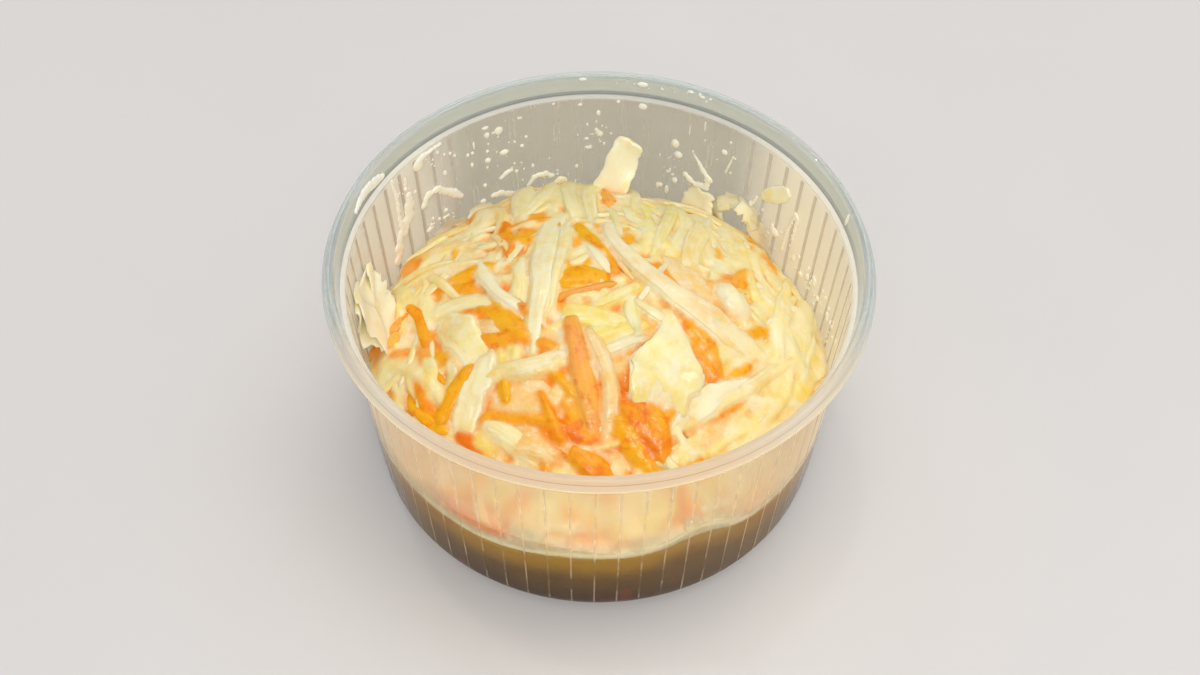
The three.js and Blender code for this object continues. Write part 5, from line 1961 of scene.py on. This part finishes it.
SMEARS = [
    [(149, 46, 0.7), (148.5, 40, 1.0), (149, 36, 1.0), (148.6, 33, 1.8), (151, 30, 2.8), (152.5, 26.5, 2.6)],
    [(144, 39, 2.2), (145, 36.5, 2.8), (146, 34, 2.6), (148, 32, 2.2)],
    [(139.2, 44.5, 2.4), (138, 45.5, 1.2), (135, 45.5, 0.8), (132, 45.6, 0.7)],
    [(140, 33.8, 1.8), (138, 35.4, 1.8), (135, 35.4, 1.6), (132.5, 33.4, 1.6), (129.5, 31.6, 1.7),
     (128.2, 30, 1.2)],
    [(116.5, 30.2, 0.7), (114.5, 31.4, 0.9), (113, 31.6, 0.5)],
    [(119, 26.5, 1.0), (116.8, 26.6, 1.6), (114, 25.4, 1.4), (110.5, 25.2, 1.2)],
    [(109, 26.5, 0.9), (107.5, 28.4, 1.0), (104.5, 28.6, 1.3), (102.8, 27.8, 1.0)],
    [(66, 36.5, 0.5), (63.5, 33.6, 0.9), (61.4, 31.4, 1.5), (62, 29.2, 1.6), (65, 29.2, 1.3),
     (67.6, 30.6, 1.6)],
    [(55.4, 40, 0.4), (57, 35.2, 0.6)],
    [(36, 26, 0.7), (35.4, 31, 0.8), (33.6, 37.4, 0.9), (32.6, 36.6, 0.8), (33, 30.6, 0.7)],
    [(163, 48.0, 1.0), (158, 48.8, 2.0), (153, 48.2, 2.2), (150, 47.6, 1.2)],
    [(47, 33.5, 0.7), (49, 29, 0.7)],
]
SPECKS = [
    # angle, height, spread in degrees, spread in height, how many
    (116, 37, 7, 7, 34), (105, 28, 5, 3, 18), (91, 38, 4, 5, 18), (72, 31, 3, 5, 14), (23, 27, 10, 4, 60),
    (134, 43, 5, 2, 10), (135, 27, 6, 3, 18), (42, 28, 8, 3, 22), (62, 37, 6, 5, 8), (146, 42, 4, 3, 10),
    (5, 27, 6, 4, 24), (75, 49.6, 12, 0.8, 12),
]
for values in DROPS:
    drop(*values)
for number, course in enumerate(SMEARS):
    smear(course, number)
draw = random.Random(21)
for degrees, z, spread_round, spread_up, count in SPECKS:
    highest_speck = 45.8 if z < 46 else 50.3
    for _ in range(count):
        size = 0.25 + 0.7 * draw.random() ** 2
        place_z = min(z + draw.gauss(0, 0.5) * spread_up, highest_speck)
        place_round = degrees + draw.gauss(0, 0.5) * spread_round
        drop(place_round, place_z, size * draw.uniform(0.7, 1.3), size * draw.uniform(0.8, 1.6))
print("drops:", len(splashes.points))

# %% [markdown]
# ## Touching drops run together
#
# Liquid pulls itself together: drops that touch become one, with a rounded neck between them. A fine
# voxel remesh joins the balls, and two rounds of smoothing take off its steps. The finish is creamy
# white, lets a little light in and has a soft shine.

# %% Run touching drops together
SPLASH_VOXEL = 0.15

wet = splashes.mesh()
apply_modifier(wet, "melt", "REMESH", mode="VOXEL", voxel_size=SPLASH_VOXEL * MM)
apply_modifier(wet, "round", "SMOOTH", iterations=2)
wet.data.shade_smooth()


def splash_finish():
    make = Finish("flicked_dressing")
    cloud = make.noise(make.place(), 600, detail=3)
    colour = make.mix(make.ramp(cloud, 0.3, 0.7), screen(254, 250, 238), screen(254, 246, 228))
    bsdf = make.node(
        "BsdfPrincipled",
        {
            "Base Color": colour,
            "Roughness": 0.25,
            "IOR": 1.4,
            "Subsurface Weight": 0.6,
            "Subsurface Radius": (0.0012, 0.0009, 0.0006),
            "Subsurface Scale": 1.0,
        },
    )
    return make.finish(bsdf)


dress(wet, splash_finish(), ["tub"], "slaw")

# %% [markdown]
# ## The flake on the wall
#
# One flat scrap of cabbage sticks to the wall at the back right. It is the same leaf blank, laid on a
# slanting course just inside the wall and facing the middle of the tub.

# %% The flake stuck to the wall
FLAKE_SEED = 401

centre, across, up, out = wall_point(41, 38)
slant = -across * 0.72 + up * 0.69
rows = ((-4.6, 1.4), (-1.5, 3.2), (2, 3.4), (4.4, 1.8))
course = [tuple(centre + slant * along - out * 0.45) + (width,) for along, width in rows]
flake = Pile("flake_on_wall")
lay(flake, LEAF_BLANK, course, 1.0, PALE_LEAF, FLAKE_SEED, cup=0.03, rag=0.12, facing=tuple(-out))
dress(flake.mesh(), food_finish("flake", COAT, 0.4, 0.2, 0.0002, 0.3), ["tub"], "slaw")

# %% [markdown]
# ## The table
#
# The tub stands on a plain pale surface with hardly any pattern. A large plane does for it. Two greys
# that are almost the same, mixed by broad clouds, keep it from looking like empty space.

# %% Table
start_clean()
bpy.ops.mesh.primitive_plane_add(size=4, location=(0, 0, 0))
table = bpy.context.object
table.name = "table"
make = Finish("pale_table")
cloud = make.noise(make.place(), 6, detail=5, roughness=0.6)
tone = make.mix(make.ramp(cloud, 0.3, 0.7), screen(220, 217, 216), screen(223, 220, 219))
table.data.materials.append(make.finish(make.node("BsdfPrincipled", {"Base Color": tone, "Roughness": 0.55})))
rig.stage(table)
print("table:", tuple(round(size, 1) for size in table.dimensions))

# %% [markdown]
# ## Light
#
# The light is that of a bright room. An even pale sky fills the shadows. A broad, soft lamp stands high
# at the back right, so the shadow is faint and falls to the front left. A lamp over the viewer's
# shoulder lights the front, a weak one at the right keeps that side of the plastic glowing, and a small
# one at the back left gives the wet shreds their few sharp glints.

# %% Light
SKY = 0.47

world = bpy.data.worlds.new("pale_sky")
bpy.context.scene.world = world
world.use_nodes = True
sky = world.node_tree.nodes["Background"]
sky.inputs["Color"].default_value = (1.0, 1.0, 1.0, 1)
sky.inputs["Strength"].default_value = SKY


def soft_lamp(name, place, size, power, colour=(1.0, 1.0, 1.0)):
    """A square lamp that looks at the middle of the tub."""
    bpy.ops.object.light_add(type="AREA", location=place)
    lamp = bpy.context.object
    lamp.name = name
    lamp.data.size = size
    lamp.data.energy = power
    lamp.data.color = colour
    lamp.rotation_euler = (Vector(place) - aim).to_track_quat("Z", "Y").to_euler()


soft_lamp("main_softbox", (0.40, 0.36, 1.25), 1.0, 4.6, (1.0, 0.985, 0.95))
soft_lamp("front_fill", (0.0, -0.95, 1.15), 0.6, 8.0, (1.0, 0.99, 0.96))
soft_lamp("right_glow", (0.80, -0.20, 0.42), 0.5, 0.5)
soft_lamp("small_window", (-0.34, 0.46, 1.02), 0.08, 0.75)
bpy.context.scene.view_settings.view_transform = "Standard"
print("lamps:", [o.name for o in bpy.context.scene.objects if o.type == "LIGHT"])

# %% [markdown]
# ## The two boxes
#
# The dressed model has to stay inside the solids' box. Both boxes, the solids' and the dressed
# model's, are written down for comparison.

# %% Sizes
start_clean()
with open("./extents.json", "w") as file:
    json.dump({"cad": [list(c) for c in cad_box], "visual": [list(c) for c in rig.bounds()]}, file)
print("both boxes written to", file.name)
